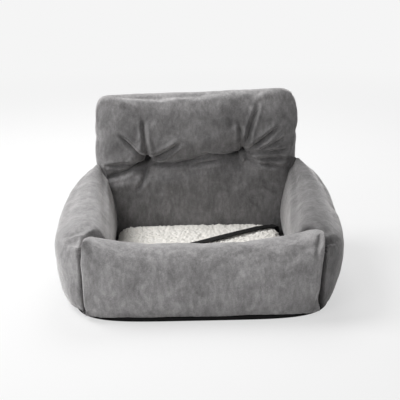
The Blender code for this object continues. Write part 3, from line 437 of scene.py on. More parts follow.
def inflate(obj, settings, sewn):
    # the stuffed form pushes its cloth out; sewn points stay, and no point goes past the cap
    start = getPoints(obj)
    weigh(obj, sewn * 1.0)
    selectOnly(obj)
    cloth = obj.modifiers.new("cloth", "CLOTH")
    for key, value in stuffing["cloth"].items():
        setattr(cloth.settings, key, value)
    cloth.settings.bending_stiffness = settings["bend"]
    cloth.settings.shrink_min = -settings["slack"]
    cloth.settings.vertex_group_mass = "mask"
    cloth.settings.effector_weights.gravity = 0
    cloth.collision_settings.use_collision = False
    for step in range(1, stuffing["steps"] + 1):
        bpy.context.scene.frame_set(step)
    bpy.ops.object.modifier_apply(modifier=cloth.name)
    bpy.context.scene.frame_set(1)
    obj.vertex_groups.clear()
    moved = getPoints(obj) - start
    reach = np.linalg.norm(moved, axis=1, keepdims=True)
    moved *= np.minimum(1, settings["cap"] / np.maximum(reach, 1e-9))
    setPoints(obj, start + moved)
    return float(np.median(reach))


def stayNear(obj, home, normals, inward, outward):
    # keeps the blown-up cloth in the space of the sewn pattern
    place = getPoints(obj)
    away = place - home
    depth = (away * normals).sum(1, keepdims=True)
    held = clamp(depth, -inward, outward)
    setPoints(obj, place + (held - depth) * normals)


def keepClear(obj, others, gap=0.0006, look=0.01):
    # moves points out of the other pieces; further off than this look, the nearest face's side says nothing
    graph = bpy.context.evaluated_depsgraph_get()
    place = getPoints(obj)
    for other in others:
        tree = BVHTree.FromObject(other, graph)
        for i, p in enumerate(place):
            near, normal, *_ = tree.find_nearest(Vector(p), look)
            if near is not None and (Vector(p) - near).dot(normal) < gap:
                place[i] = near + normal * gap
    setPoints(obj, place)


def pathDistance(flat, path):
    # distance of each flat point to a drawn line, and how far along it the nearest place is, from 0 to 1
    path = np.asarray(path, float)
    steps = np.linalg.norm(np.diff(path, axis=0), axis=1)
    ends = np.concatenate([[0], np.cumsum(steps)]) / steps.sum()
    best = np.full(len(flat), 1e9)
    along = np.zeros(len(flat))
    for a, b, start, end in zip(path, path[1:], ends, ends[1:]):
        share = clamp(((flat - a) @ (b - a)) / ((b - a) @ (b - a)))
        away = np.linalg.norm(flat - (a + share[:, None] * (b - a)), axis=1)
        nearer = away < best
        best = np.where(nearer, away, best)
        along = np.where(nearer, start + share * (end - start), along)
    return best, along


def addCreases(obj, creases, axes, inward):
    # grooves pulled in along drawn lines, with a soft ridge on either side; a line that isn't even
    # thins and fades towards its end
    inward = np.asarray(inward, float)
    place = getPoints(obj)
    facing = clamp(-getPoints(obj, "normal") @ inward * 1.6)
    for width, depth, line, *even in creases:
        away, along = pathDistance(place[:, axes], line)
        fade = 1
        if not even:
            width = width * (1 - 0.35 * along)
            fade = smoothStep((1 - along) * 3) * (1 - 0.45 * along)
        ridge = 0.34 * np.exp(-(((away - 2.2 * width) / (1.1 * width)) ** 2))
        groove = np.exp(-((away / width) ** 1.3)) - ridge
        place += (facing * fade * groove * depth)[:, None] * inward
    setPoints(obj, place)


# Front bolster: an upright pillow whose ends are drawn to a seam, with raised corners
frontBolster = {
    "halfLength": 0.23,
    "faceY": -0.252,
    "thickness": 0.112,
    "heightMiddle": 0.1355,
    "earRise": (0.028, 0.035),
    "earPower": (3.3, 2.4),
    "foot": 0.0083,
    "low": -0.006,
    "setback": 0.016,
    "seamDraw": (0.0005, 0.002),
    "earDraw": (0.008, 0.001),
    "footDraw": 0.004,
    "bulge": 0.004,
    "topPower": 3.2,
    "lowPower": 6,
    "endPower": 10,
    "endRounding": 2.4,
    "bend": 0.8,
    "slack": 0.035,
    "cap": 0.012,
    "room": (0.005, 0.0025),
    "lumps": (0.055, 0.004),
    "rollFrom": 0.205,
    "rollWidth": 0.02,
    "rollAbove": 0.02,
    # the left ear ends in a small rolled knob: place, radius and pull
    "pinches": (
        ((-0.219, -0.238, 0.158), 0.01, (-0.002, -0.004, 0.003)),
        ((-0.203, -0.24, 0.157), 0.007, (0, 0.003, -0.004)),
    ),
    # painted light: the front bolster's copy of the plush is painted paler for the light on its face
    "tone": 1.5,
}


def ringSection(v, centre, half, low, high, middle, powerLow, powerHigh, foot):
    # v runs round a section from the middle of its flat foot; returns across and up
    share = (middle - foot) / (middle - low)
    start = -np.arcsin(share ** (powerLow / 2))
    footShare = 0.16
    arch = clamp((np.abs(v) - footShare) / (1 - footShare))
    turned = (math.pi / 2 - start) * arch
    angle = np.where(v >= 0, start + turned, math.pi - start - turned)
    upper = np.sin(angle) > 0
    power = np.where(upper, powerHigh, powerLow)
    rise = np.where(upper, high - middle, middle - low)
    out = signedPower(np.cos(angle), 2 / power)
    across = centre + out * half
    up = middle + rise * signedPower(np.sin(angle), 2 / power)
    edge = signedPower(np.cos(start), 2 / powerLow)
    onFoot = np.abs(v) < footShare
    across = np.where(onFoot, centre + edge * half * v / footShare, across)
    up = np.where(onFoot, foot, up)
    return across, up


def frontShape(grow):
    s = frontBolster

    def shape(u, v, w):
        share = crowd(u, 0.6)
        rounding = roundOff(share, s["endPower"], s["endRounding"])
        half = s["thickness"] / 2 * rounding
        ears = [rise * np.abs(share) ** power for rise, power in zip(s["earRise"], s["earPower"])]
        top = s["heightMiddle"] + np.where(share < 0, *ears) + grow
        low = s["low"] - grow
        centre = s["faceY"] + s["setback"] * share**6 + half
        half = half + grow * rounding
        middle = (top + low) / 2
        y, z = ringSection(v, centre, half, low, top, middle, s["lowPower"], s["topPower"], s["foot"])
        belly = np.maximum(1 - ((z - middle) / (top - middle)) ** 2, 0)
        drawn = np.where(share < 0, *s["seamDraw"]) * np.abs(share) ** 3 * belly
        ear = clamp((z - middle) / (top - middle)) ** 4
        drawn = drawn + s["footDraw"] * np.abs(share) ** 9 * clamp((middle - z) / (middle - low)) ** 6
        drawn = drawn + np.where(share < 0, *s["earDraw"]) * np.abs(share) ** 3 * ear
        bulge = np.where(y < centre, s["bulge"] * (1 - share**2) * belly, 0)
        x = share * s["halfLength"] - np.sign(share) * drawn
        return np.stack([x, y - bulge, z], axis=1)

    return shape


def buildSewn(name, counts, shapeOf, settings, sewnTest, twoSheets=False):
    # the same grid is folded twice: once full, for the pattern, and once slimmer, for the cloth to fill
    full = foldedGrid(name + "Pattern", *counts, shapeOf(0.0), twoSheets)
    slim = foldedGrid(name, *counts, shapeOf(-stuffing["slim"]), twoSheets)
    home, start = getPoints(full), getPoints(slim)
    bpy.data.objects.remove(full)
    sewShut(slim)
    lookup = KDTree(len(start))
    for i, p in enumerate(start):
        lookup.insert(p, i)
    lookup.balance()
    home = home[[lookup.find(p)[1] for p in getPoints(slim)]]
    normals = getPoints(slim, "normal")
    moved = inflate(slim, settings, sewnTest(home))
    print(name, "cloth moved", round(moved * 1000, 1), "mm")
    return slim, home, normals


def softenEdge(obj, mask, rounds):
    # evens out the cloth where the mask is set, as a rolled seam does
    weigh(obj, mask)
    applyModifier(obj, "SMOOTH", factor=0.5, iterations=rounds, vertex_group="mask")
    obj.vertex_groups.clear()


def refine(obj, chosen, smoothness=0.0):
    # smaller faces on the side that is seen, so that folds and curls come out sharp
    meshOps(obj, ("select_all", {"action": "DESELECT"}))
    for face in obj.data.polygons:
        face.select = chosen(face.normal)
    bpy.ops.object.mode_set(mode="EDIT")
    bpy.ops.mesh.subdivide(number_cuts=1, smoothness=smoothness)
    bpy.ops.object.mode_set(mode="OBJECT")


def addPinch(obj, centre, radius, pull):
    # a soft dimple or swelling round one point
    place = getPoints(obj)
    away = np.linalg.norm(place - centre, axis=1) / radius
    setPoints(obj, place + np.exp(-(away**2))[:, None] * np.asarray(pull))


def footHeld(p):
    return p[:, 2] < stuffing["heldFoot"]


frontPad, home, normals = buildSewn("frontBolsterPad", (96, 84), frontShape, frontBolster, footHeld)
stayNear(frontPad, home, normals, *frontBolster["room"])
rolled = smoothStep((np.abs(home[:, 0]) - frontBolster["rollFrom"]) / frontBolster["rollWidth"])
softenEdge(frontPad, rolled * (home[:, 2] > frontBolster["rollAbove"]), 3)
subdivide(frontPad, 1)
lumps(frontPad, *frontBolster["lumps"])

frontCreases = [
    # the lower left corner, where the cloth gathers to the base
    (0.006, 0.004, [(-0.2255, 0.012), (-0.206, 0.04), (-0.193, 0.058)]),
    (0.006, 0.003, [(-0.22, 0.01), (-0.195, 0.026), (-0.172, 0.033)]),
    # the right seam's gathers, from the ear down
    (0.005, 0.003, [(0.229, 0.168), (0.221, 0.146), (0.215, 0.116)]),
    (0.004, 0.004, [(0.227, 0.165), (0.22, 0.135), (0.217, 0.105)]),
    (0.006, 0.005, [(0.224, 0.02), (0.208, 0.045), (0.204, 0.075)]),
    # the left ear's gathers
    (0.005, 0.003, [(-0.224, 0.17), (-0.212, 0.15), (-0.206, 0.13)]),
]
addCreases(frontPad, frontCreases, (0, 2), (0, 1, 0))
for pinch in frontBolster["pinches"]:
    addPinch(frontPad, *pinch)
smoothShade(frontPad)
frontPlush = makePlush(plush, frontBolster["tone"])
dress(frontPad, frontPlush, "plush", "seat", "front_bolster_cover", "front_bolster_fill")
print("front bolster stuffed")


# Back cushion: two sheets sewn round their edge and pulled together at two tufts
backCushion = {
    "halfWidth": 0.2305,
    "height": 0.353,
    "footY": 0.186,
    "foot": 0.0083,
    "baseZ": 0.008,
    "lean": math.radians(6),
    "thickness": 0.088,
    "crown": 0.009,
    "seamDraw": 0.001,
    "edgePower": 8,
    "topPower": 6,
    "edgeRounding": 2.0,
    "cornerPower": 16,
    "footDraw": 0.14,
    "tufts": ((-0.1155, 0.202), (0.0965, 0.218)),
    "tuftDepth": 0.027,
    "tuftRadius": 0.026,
    "pitShift": ((0.000, -0.006), (-0.003, -0.007)),
    "rightLift": 0.009,
    "bend": 0.6,
    "slack": 0.03,
    "cap": 0.012,
    "room": (0.007, 0.003),
    "lumps": (0.06, 0.005),
    "rollReach": (0.2275, 0.35),
    "rollFrom": 0.9,
    "rollWidth": 0.08,
    "rollAbove": 0.03,
    "tieRadius": 0.006,
    "pitDepth": 0.021,
    "pitRadius": 0.0125,
    "clothGap": 0.005,
    "clothReach": 0.05,
    # painted light: tone sets how pale this copy of the plush is painted for the light on it
    "tone": 1.0,
    # painted highlight: the heights where the paler top band starts and ends, and how much paler it gets
    "paintedTopLight": (0.285, 0.352, 1.55),
}


def leaned(height, through=0):
    # the y and z at this height up the leaning cushion
    s = backCushion
    sine, cosine = math.sin(s["lean"]), math.cos(s["lean"])
    return s["footY"] + height * sine + through * cosine, s["baseZ"] + height * cosine - through * sine


def backHalf(x, height, grow):
    s = backCushion
    across = clamp(np.abs(x) / s["halfWidth"])
    up = clamp(height / s["height"])
    edge = roundOff(across, s["edgePower"], s["edgeRounding"])
    edge *= roundOff(up, s["topPower"], s["edgeRounding"])
    crown = s["crown"] * (1 - across**2) * (1 - (2 * up - 1) ** 2)
    dent = 0
    for tuftX, tuftHeight in s["tufts"]:
        away = np.hypot(x - tuftX, height - tuftHeight)
        dent = dent + s["tuftDepth"] * np.exp(-((away / s["tuftRadius"]) ** 1.3))
    half = (s["thickness"] / 2 + crown) * (1 - s["footDraw"] * (1 - up) ** 4) + grow - dent
    return np.maximum(half, 0) * edge


def backShape(grow):
    s = backCushion

    def shape(u, v, w):
        across, up = roundCorners(crowd(u, 0.8), crowd((v + 1) / 2, 0.7), s["cornerPower"])
        half = backHalf(across * s["halfWidth"], up * s["height"], grow)
        through = np.where(w > 0.5, half, -half)
        drawn = s["seamDraw"] * np.abs(across) ** 3 * (1 - (2 * up - 1) ** 4)
        x = across * (s["halfWidth"] + grow) - np.sign(across) * drawn
        height = up * (s["height"] + grow)
        y, z = leaned(height, through)
        z = z + s["rightLift"] * clamp(across * 0.5 + 0.5) * up**3
        z = np.where(v < -0.999, s["foot"], np.maximum(z, s["foot"]))
        return np.stack([x, y, z], axis=1)

    return shape


def tuftPlaces():
    # the x and z of both tufts
    return [np.array((x, leaned(height)[1])) for x, height in backCushion["tufts"]]


def backSewn(p):
    held = footHeld(p)
    for tuft in tuftPlaces():
        held |= np.hypot(*(p[:, (0, 2)] - tuft).T) < backCushion["tieRadius"]
    return held


backPad, home, normals = buildSewn("backCushionPad", (100, 82), backShape, backCushion, backSewn, True)
stayNear(backPad, home, normals, *backCushion["room"])
reachX, reachZ = backCushion["rollReach"]
backEdge = np.maximum(np.abs(home[:, 0]) / reachX, (home[:, 2] - backCushion["baseZ"]) / reachZ)
rolled = smoothStep((backEdge - backCushion["rollFrom"]) / backCushion["rollWidth"])
softenEdge(backPad, rolled * (home[:, 2] > backCushion["rollAbove"]), 7)
subdivide(backPad, 1)
refine(backPad, lambda normal: normal.y < -0.2, 0.6)
lumps(backPad, *backCushion["lumps"])

backCreases = [
    # the broad valley between the tufts, and on to both edges
    (0.017, 0.013, [
        (-0.109, 0.2025), (-0.05, 0.2055), (0.0, 0.2155), (0.0455, 0.2215), (0.0935, 0.2175),
    ], True),
    (0.014, 0.0145, [
        (-0.115, 0.2005), (-0.15, 0.1935), (-0.185, 0.1805), (-0.214, 0.1725), (-0.226, 0.1666),
    ]),
    # folds that fan from the left tuft
    (0.0055, 0.0159, [(-0.113, 0.2072), (-0.1367, 0.2315), (-0.1648, 0.2592), (-0.1805, 0.2746)]),
    (0.0055, 0.0145, [(-0.1107, 0.2074), (-0.1162, 0.2496), (-0.1196, 0.2937), (-0.1213, 0.3156)]),
    (0.006, 0.0174, [(-0.1085, 0.2075), (-0.0789, 0.2251), (-0.0474, 0.2453), (-0.0293, 0.2569)]),
    (0.0048, 0.0101, [
        (-0.1131, 0.2026), (-0.1289, 0.1983), (-0.162, 0.2013), (-0.1981, 0.1981), (-0.22, 0.1962),
    ]),
    (0.0048, 0.013, [
        (-0.1154, 0.2001), (-0.1444, 0.1938), (-0.1715, 0.1813), (-0.2012, 0.1728), (-0.2224, 0.1667),
    ]),
    (0.0055, 0.0087, [(-0.111, 0.1981), (-0.1204, 0.1693), (-0.1319, 0.1522), (-0.1404, 0.1395)]),
    # folds along the valley
    (0.0048, 0.0117, [
        (-0.1063, 0.203), (-0.0504, 0.2029), (0.0056, 0.2145), (0.0257, 0.2195), (0.0547, 0.2192),
        (0.0767, 0.219),
    ]),
    (0.0048, 0.0117, [
        (0.0932, 0.2161), (0.0547, 0.2192), (0.0257, 0.2253), (0.0056, 0.2215), (-0.016, 0.2174),
    ]),
    (0.0048, 0.0117, [(0.0909, 0.214), (0.0388, 0.2093), (-0.017, 0.2006), (-0.0387, 0.1972)]),
    # folds that fan from the right tuft
    (0.0055, 0.013, [(0.0978, 0.2224), (0.0977, 0.2713), (0.0955, 0.2826), (0.092, 0.3004)]),
    (0.0055, 0.0159, [
        (0.1023, 0.2248), (0.1154, 0.2689), (0.1246, 0.2949), (0.1343, 0.3218), (0.1418, 0.3425),
    ]),
    (0.0055, 0.0159, [(0.1065, 0.2276), (0.1465, 0.253), (0.1782, 0.2758), (0.1961, 0.2886)]),
    (0.0048, 0.0116, [(0.1066, 0.2229), (0.1598, 0.2372), (0.1941, 0.2547), (0.2137, 0.2647)]),
    (0.0048, 0.013, [(0.1088, 0.2209), (0.1242, 0.2237), (0.2036, 0.2288), (0.2256, 0.2302)]),
    (0.0048, 0.0116, [(0.1109, 0.2167), (0.1329, 0.2129), (0.2061, 0.208), (0.226, 0.2065)]),
    (0.0048, 0.0101, [(0.1108, 0.2123), (0.135, 0.202), (0.1848, 0.193), (0.2064, 0.1891)]),
]
rearTree = BVHTree.FromObject(backPad, bpy.context.evaluated_depsgraph_get())
addCreases(backPad, backCreases, (0, 2), (0, 1, 0))
backPlace = getPoints(backPad)
facing = smoothStep(0.5 - getPoints(backPad, "normal")[:, 1] * 2)
deep = np.zeros(len(backPlace), bool)
for tuft, shift in zip(tuftPlaces(), backCushion["pitShift"]):
    away = np.hypot(*(backPlace[:, (0, 2)] - tuft - shift).T)
    pit = np.exp(-((away / backCushion["pitRadius"]) ** 1.5)) * backCushion["pitDepth"]
    backPlace[:, 1] += pit * facing
    deep |= (away < backCushion["clothReach"]) & (facing > 0.5)
# neither pit nor fold reaches through to the rear cloth
for i in np.nonzero(deep)[0]:
    behind = Vector((backPlace[i, 0], 0.4, backPlace[i, 2]))
    rear = rearTree.ray_cast(behind, Vector((0, -1, 0)))[0]
    if rear is not None:
        backPlace[i, 1] = min(backPlace[i, 1], rear.y - backCushion["clothGap"])
setPoints(backPad, backPlace)


# The rear of the back cushion lies flat under the zip, and under the feet of the belt loops
backRear = {
    "zipHalfLength": 0.1672,
    "zipLow": 0.0325,
    "zipHigh": 0.0595,
    "zipY": 0.2279,
    "blend": 0.012,
    "loopX": 0.072,
    "loopHalf": 0.022,
    "feet": (((0.2437, 0.0775), (0.2462, 0.0973)), ((0.256, 0.1707), (0.257, 0.1905))),
    "footGap": 0.0018,
    "past": (0.004, 0.002),
}


def settleRear(obj):
    place = getPoints(obj)
    rear = getPoints(obj, "normal")[:, 1] > 0.2
    s = backRear
    outside = np.maximum(np.abs(place[:, 0]) - s["zipHalfLength"], 0)
    outside = np.maximum(outside, np.maximum(s["zipLow"] - place[:, 2], place[:, 2] - s["zipHigh"]))
    flat = s["zipY"] - place[:, 1]
    share = smoothStep(1 - outside / s["blend"])
    place[:, 1] += np.where(rear & (flat < 0), flat * share, 0)
    beside = np.maximum(np.abs(np.abs(place[:, 0]) - s["loopX"]) - s["loopHalf"], 0)
    for (lowY, lowZ), (highY, highZ) in s["feet"]:
        below, above = lowZ - s["past"][0] - place[:, 2], place[:, 2] - highZ - s["past"][1]
        outside = np.maximum(beside, np.maximum(below, above))
        foot = lowY + (highY - lowY) * (place[:, 2] - lowZ) / (highZ - lowZ) - s["footGap"]
        share = smoothStep(1 - np.maximum(outside, 0) / s["blend"])
        place[:, 1] += np.where(rear, np.minimum(foot - place[:, 1], 0) * share, 0)
    setPoints(obj, place)


settleRear(backPad)
smoothShade(backPad)
# the back's plush gets a painted highlight along its top edge
backPlush = makePlush(plush, backCushion["tone"], backCushion["paintedTopLight"])
dress(backPad, backPlush, "plush", "seat", "back_cushion_cover", "back_cushion_fill")
print("back cushion stuffed")


# Side bolsters: long forms whose plan follows the rounded outline, low at the front
sideBolster = {
    "outerX": (0.294, 0.2865),
    "rearTaper": 0.026,
    "innerX": 0.1835,
    "frontReach": (0.247, 0.259),
    "rearReach": 0.24,
    "frontSquareness": (4.4, 4.5),
    "rearSquareness": 3,
    "heightFront": 0.164,
    "heightRear": (0.209, 0.22),
    "shoulderTilt": (0.044, 0.008),
    "noseDrop": 0.016,
    "widest": 0.114,
    "tip": 0.012,
    "low": -0.004,
    "foot": 0.0083,
    "topPower": 2.2,
    "lowPower": (2.6, 1.9),
    "risePower": 1.3,
    "bend": 0.8,
    "slack": 0.03,
    "cap": 0.01,
    "room": (0.005, 0.0018),
    "lumps": (0.06, 0.004),
    "apart": 0.0006,
    "softTips": (((0.212, -0.165, 0.16), 0.04), ((0.225, 0.14, 0.21), 0.03)),
    # painted light: the left bolster's copy is painted paler and the right's darker, for the light from the
    # left
    "tone": (1.46, 0.84),
}


def frontRear(x):
    # the y of the front bolster's rear face
    s = frontBolster
    share = clamp(np.abs(x) / s["halfLength"])
    half = s["thickness"] / 2 * roundOff(share, s["endPower"], s["endRounding"])
    return np.where(share < 1, s["faceY"] + s["setback"] * share**6 + 2 * half, -1)


def backFront(x, z):
    # the y of the back cushion's front face
    s = backCushion
    half = s["thickness"] / 2
    for _ in range(3):
        height = (z - s["baseZ"] - half * math.sin(s["lean"])) / math.cos(s["lean"])
        half = backHalf(x, np.maximum(height, 0.004), 0.0)
    return np.where(np.abs(x) < s["halfWidth"], leaned(height, -half)[0], 1)


def sideShape(side):
    s = sideBolster
    which = 0 if side < 0 else 1
    outerX, heightRear = s["outerX"][which], s["heightRear"][which]
    frontReach, frontSquareness = s["frontReach"][which], s["frontSquareness"][which]

    def sized(grow):
        ends = []
        for reach, power in ((frontReach, frontSquareness), (s["rearReach"], s["rearSquareness"])):
            share = (s["innerX"] - grow + s["tip"]) / (outerX + grow)
            ends.append((reach + grow) * (1 - share**power) ** (1 / power))

        def shape(u, v, w):
            share = crowd(u, 0.7)
            y = share * np.where(share > 0, ends[1], ends[0])
            power = np.where(y > 0, s["rearSquareness"], frontSquareness)
            reach = np.where(y > 0, s["rearReach"], frontReach) + grow
            outer = (outerX + grow) * (1 - clamp(np.abs(y) / reach) ** power) ** (1 / power)
            inner = s["innerX"] - grow
            along = clamp((y + ends[0]) / (ends[0] + ends[1]))
            top = s["heightFront"] + (heightRear - s["heightFront"]) * along ** s["risePower"] + grow
            top = top - s["noseDrop"] * np.maximum(-share, 0) ** 4
            x, z = ringSection(
                v, (outer + inner) / 2, (outer - inner) / 2, s["low"] - grow, top, s["widest"],
                s["lowPower"][which], s["topPower"], s["foot"],
            )
            # the crest lies towards the inner side, and the shoulder slopes down from it
            lean = (x - inner) / np.maximum(outer - inner, 1e-6) - 0.5
            high = clamp((z - s["widest"]) / (top - s["widest"]))
            z = z - s["shoulderTilt"][which] * lean * high * along
            # towards the rear the inner side draws out to the edge of the back cushion
            x = x + s["rearTaper"] * (0.5 - lean) * smoothStep((z - 0.06) / (top - 0.06)) * along**2
            y = np.maximum(y, frontRear(x) + s["apart"] - grow)
            y = np.minimum(y, backFront(x, z) - s["apart"] + grow)
            return np.stack([side * x, y, z], axis=1)

        return shape

    return sized


def closeEnds(obj):
    # the two open ends get a face each
    meshOps(obj, ("select_all", {"action": "DESELECT"}), ("select_non_manifold", {}), ("fill", {}))


sideCreases = {
    "left": [
        (0.007, 0.006, [(-0.232, -0.214), (-0.245, -0.196), (-0.262, -0.188)]),
        (0.008, 0.005, [(-0.222, -0.15), (-0.236, -0.17), (-0.256, -0.168), (-0.272, -0.15)]),
    ],
    "right": [
        (0.006, 0.005, [(0.232, -0.214), (0.242, -0.19), (0.245, -0.16)]),
        (0.006, 0.006, [(0.236, -0.22), (0.256, -0.204), (0.268, -0.18)]),
    ],
}

for which, (name, side) in enumerate((("left", -1), ("right", 1))):
    s = sideBolster
    pad, home, normals = buildSewn(name + "BolsterPad", (92, 80), sideShape(side), s, footHeld)
    closeEnds(pad)
    stayNear(pad, home, normals, *s["room"])
    subdivide(pad, 1)
    lumps(pad, *s["lumps"])
    addCreases(pad, sideCreases[name], (0, 1), (0, 0, -1))
    for tip, reach in s["softTips"]:
        away = np.linalg.norm(getPoints(pad) * (side, 1, 1) - tip, axis=1)
        softenEdge(pad, np.exp(-((away / reach) ** 2)), 24)
    keepClear(pad, [frontPad, backPad])
    smoothShade(pad)
    # each bolster's copy of the plush is painted paler or darker for the light on its side
    sidePlush = makePlush(plush, s["tone"][which])
    dress(pad, sidePlush, "plush", "seat", name + "_bolster_cover", name + "_bolster_fill")
    print(name, "bolster stuffed")


# Base: a black non-slip tray with a soft rim, grip dots below, and the cabin's floor
base = {
    "halfWidth": 0.2585,
    "halfLength": 0.2415,
    "centreY": -0.0085,
    "frontSquareness": 4.8,
    "rearSquareness": 3.2,
    "low": 0.0006,
    "height": 0.0079,
    "roll": 0.0028,
    "dotPitch": 0.018,
    "dotRadius": 0.0026,
    "dotHeight": 0.0016,
    "dotField": 1.56,
}


def buildBase(settings):
    s = settings
    bpy.ops.mesh.primitive_circle_add(vertices=180, radius=1, fill_type="NGON")
    tray = named("baseTray")
    ring = getPoints(tray)
    angle = np.arctan2(ring[:, 1], ring[:, 0])
    power = np.where(ring[:, 1] > 0, s["rearSquareness"], s["frontSquareness"])
    x = s["halfWidth"] * signedPower(np.cos(angle), 2 / power)
    y = s["centreY"] + s["halfLength"] * signedPower(np.sin(angle), 2 / power)
    setPoints(tray, np.stack([x, y, np.full(len(x), s["low"])], axis=1))
    meshOps(
        tray,
        ("extrude_region_move", {"TRANSFORM_OT_translate": {"value": (0, 0, s["height"] - s["low"])}}),
        ("select_all", {"action": "SELECT"}),
        ("normals_make_consistent", {"inside": False}),
    )
    bevel(tray, s["roll"], 4, 40)
    smoothShade(tray, 35)
    dress(tray, baseCloth, "non_slip_cloth", "seat", "base_underside", "base_board")

    # grip dots in rows over the underside
    pitch, depth = s["dotPitch"], s["dotHeight"]
    countX, countY = (int(s["dotField"] * s[half] / pitch) for half in ("halfWidth", "halfLength"))
    start = (-(countX - 1) * pitch / 2, s["centreY"] - (countY - 1) * pitch / 2, depth / 2)
    bpy.ops.mesh.primitive_cylinder_add(vertices=8, radius=s["dotRadius"], depth=depth, location=start)
    dots = named("gripDots")
    bakePlace(dots)
    bevel(dots, 0.0005, 1)
    repeat(dots, countX, (pitch, 0, 0))
    repeat(dots, countY, (0, pitch, 0))
    smoothShade(dots, 40)
    dress(dots, gripRubber, "non_slip_cloth", "seat")


cabinFloor = {
    "foamSize": (0.356, 0.279, 0.0172),
    "foamCentre": (0, 0.0025, 0.0172),
    "linerSize": (0.362, 0.282),
    "linerY": 0.004,
    "linerZ": 0.027,
    "ripple": 0.0003,
}


def buildFloor(settings):
    s = settings
    bpy.ops.mesh.primitive_cube_add(size=1)
    foam = named("floorFoam")
    setPoints(foam, getPoints(foam) * s["foamSize"] + s["foamCentre"])
    bevel(foam, 0.004, 3)
    smoothShade(foam, 35)
    dress(foam, foamBoard, "foam", "seat", "base_foam")

    bpy.ops.mesh.primitive_grid_add(x_subdivisions=90, y_subdivisions=70, size=1)
    liner = named("floorLiner")
    x, y = (getPoints(liner)[:, :2] * s["linerSize"] + (0, s["linerY"])).T
    ripple = s["ripple"] * np.sin(x * 61 + 9 * y) * np.sin(y * 47 - 5 * x)
    setPoints(liner, np.stack([x, y, s["linerZ"] + ripple], axis=1))
    applyModifier(liner, "SOLIDIFY", thickness=0.001, offset=0)
    smoothShade(liner, 40)
    dress(liner, linerCloth, "liner_cloth", "seat", "base_liner")


buildBase(base)
buildFloor(cabinFloor)
print("base laid")


# Mat: curly pile above its seam, smooth cloth below
mat = {
    "halfWidth": 0.181,
    "centreY": 0.0025,
    "halfLength": 0.1395,
    "seam": 0.0432,
    "apart": 0.0004,
    "rise": 0.0189,
    "drop": 0.0144,
    "crowded": 0.35,
    "squareness": (14, 7),
    "edgePower": 10,
    "edgeRounding": 2.3,
    "crown": 0.06,
    "flat": 0.55,
    "rearRise": 0.013,
    "riseFrom": -0.02,
    "riseRun": 0.15,
    # kind, size, height and middle level of what the pile is made of
    "curls": (
        ("CLOUDS", 0.03, 0.004, 0.5),
        ("VORONOI", 0.008, -0.0044, 0.55),
        ("VORONOI", 0.0045, -0.0022, 0.5),
        ("CLOUDS", 0.004, 0.0024, 0.5),
    ),
}


def rearRise(y):
    return mat["rearRise"] * clamp((y - mat["riseFrom"]) / mat["riseRun"])


def matPlan(u, v):
    # the place of each point, its share of the way out to the sides, and how full the mat is there
    s = mat
    power = np.where(u < 0, *s["squareness"])
    a, b = roundCorners(crowd(u, s["crowded"]), crowd(v, s["crowded"]), power)
    across, along = clamp(np.abs(a)), clamp(np.abs(b))
    away = clamp((across**power + along**power) ** (1 / power))
    full = roundOff(away, s["edgePower"], s["edgeRounding"])
    return a * s["halfWidth"], s["centreY"] + b * s["halfLength"], across, full


def matTop(u, v, w):
    # the upper sheet carries the pile, the lower one closes it at the seam
    s = mat
    x, y, across, full = matPlan(u, v)
    rise = full * (1 - s["crown"] * across**2) * (s["rise"] + rearRise(y))
    return np.stack([x, y, s["seam"] + s["apart"] + np.where(w > 0.5, rise, 0)], axis=1)


def matUnder(u, v, w):
    s = mat
    x, y, _, full = matPlan(u, v)
    drop = clamp(full / s["flat"]) * s["drop"]
    return np.stack([x, y, s["seam"] - np.where(w > 0.5, 0, drop)], axis=1)


def buildMat():
    pile = foldedGrid("sherpaMat", 120, 94, matTop, True)
    sewShut(pile)
    refine(pile, lambda normal: normal.z > -0.5)
    applyModifier(pile, "SMOOTH", factor=0.5, iterations=2)
    weigh(pile, smoothStep((getPoints(pile)[:, 2] - mat["seam"]) / 0.012))
    for kind, size, height, middle in mat["curls"]:
        lumps(pile, size, height, kind, middle, "mask")
    pile.vertex_groups.clear()
    smoothShade(pile)
    dress(pile, sherpaPile, "sherpa_pile", "mat", "mat_pile_cover", "mat_fill")

    under = foldedGrid("matUnderside", 56, 44, matUnder, True)
    sewShut(under)
    subdivide(under, 1)
    lumps(under, 0.05, 0.0008)
    smoothShade(under)
    dress(under, linerCloth, "liner_cloth", "mat", "mat_underside")
    return pile


pileMat = buildMat()
print("mat sewn")


# Webbing: a ribbon along a path, with its UV map in metres
def ribbon(name, middle, across, width, thickness, rows, columns=10):
    middle = np.asarray(middle, float)
    steps = np.linalg.norm(np.diff(middle, axis=0), axis=1)
    along = np.concatenate([[0], np.cumsum(steps)])
    bpy.ops.object.select_all(action="DESELECT")
    bpy.ops.mesh.primitive_grid_add(x_subdivisions=rows, y_subdivisions=columns, size=2)
    obj = named(name)
    raw = getPoints(obj)
    run = (raw[:, 0] + 1) / 2 * along[-1]
    place = np.stack([np.interp(run, along, middle[:, i]) for i in range(3)], axis=1)
    place += raw[:, 1:2] * width / 2 * np.asarray(across)
    uvs = obj.data.uv_layers.active.data
    flat = np.empty(len(uvs) * 2)
    uvs.foreach_get("uv", flat)
    uvs.foreach_set("uv", (flat.reshape(-1, 2) * (along[-1], width)).ravel())
    setPoints(obj, place)
    applyModifier(obj, "SOLIDIFY", thickness=thickness, offset=0)
    bevel(obj, thickness * 0.28, 2, 50)
    smoothShade(obj, 45)
    return obj


def addStitches(name, places, ahead, length, radius, body):
    # one thread stitch after another, joined to one piece
    stitches = []
    turn = Vector(ahead).normalized().to_track_quat("X", "Z").to_euler()
    for place in places:
        bpy.ops.mesh.primitive_uv_sphere_add(segments=8, ring_count=6, location=place, rotation=turn)
        stitch = bpy.context.object
        stitch.scale = (length / 2, radius, radius)
        stitches.append(stitch)
    selectOnly(*stitches)
    bpy.ops.object.join()
    joined = named(name)
    bakePlace(joined)
    smoothShade(joined)
    dress(joined, blackThread, "thread", body)


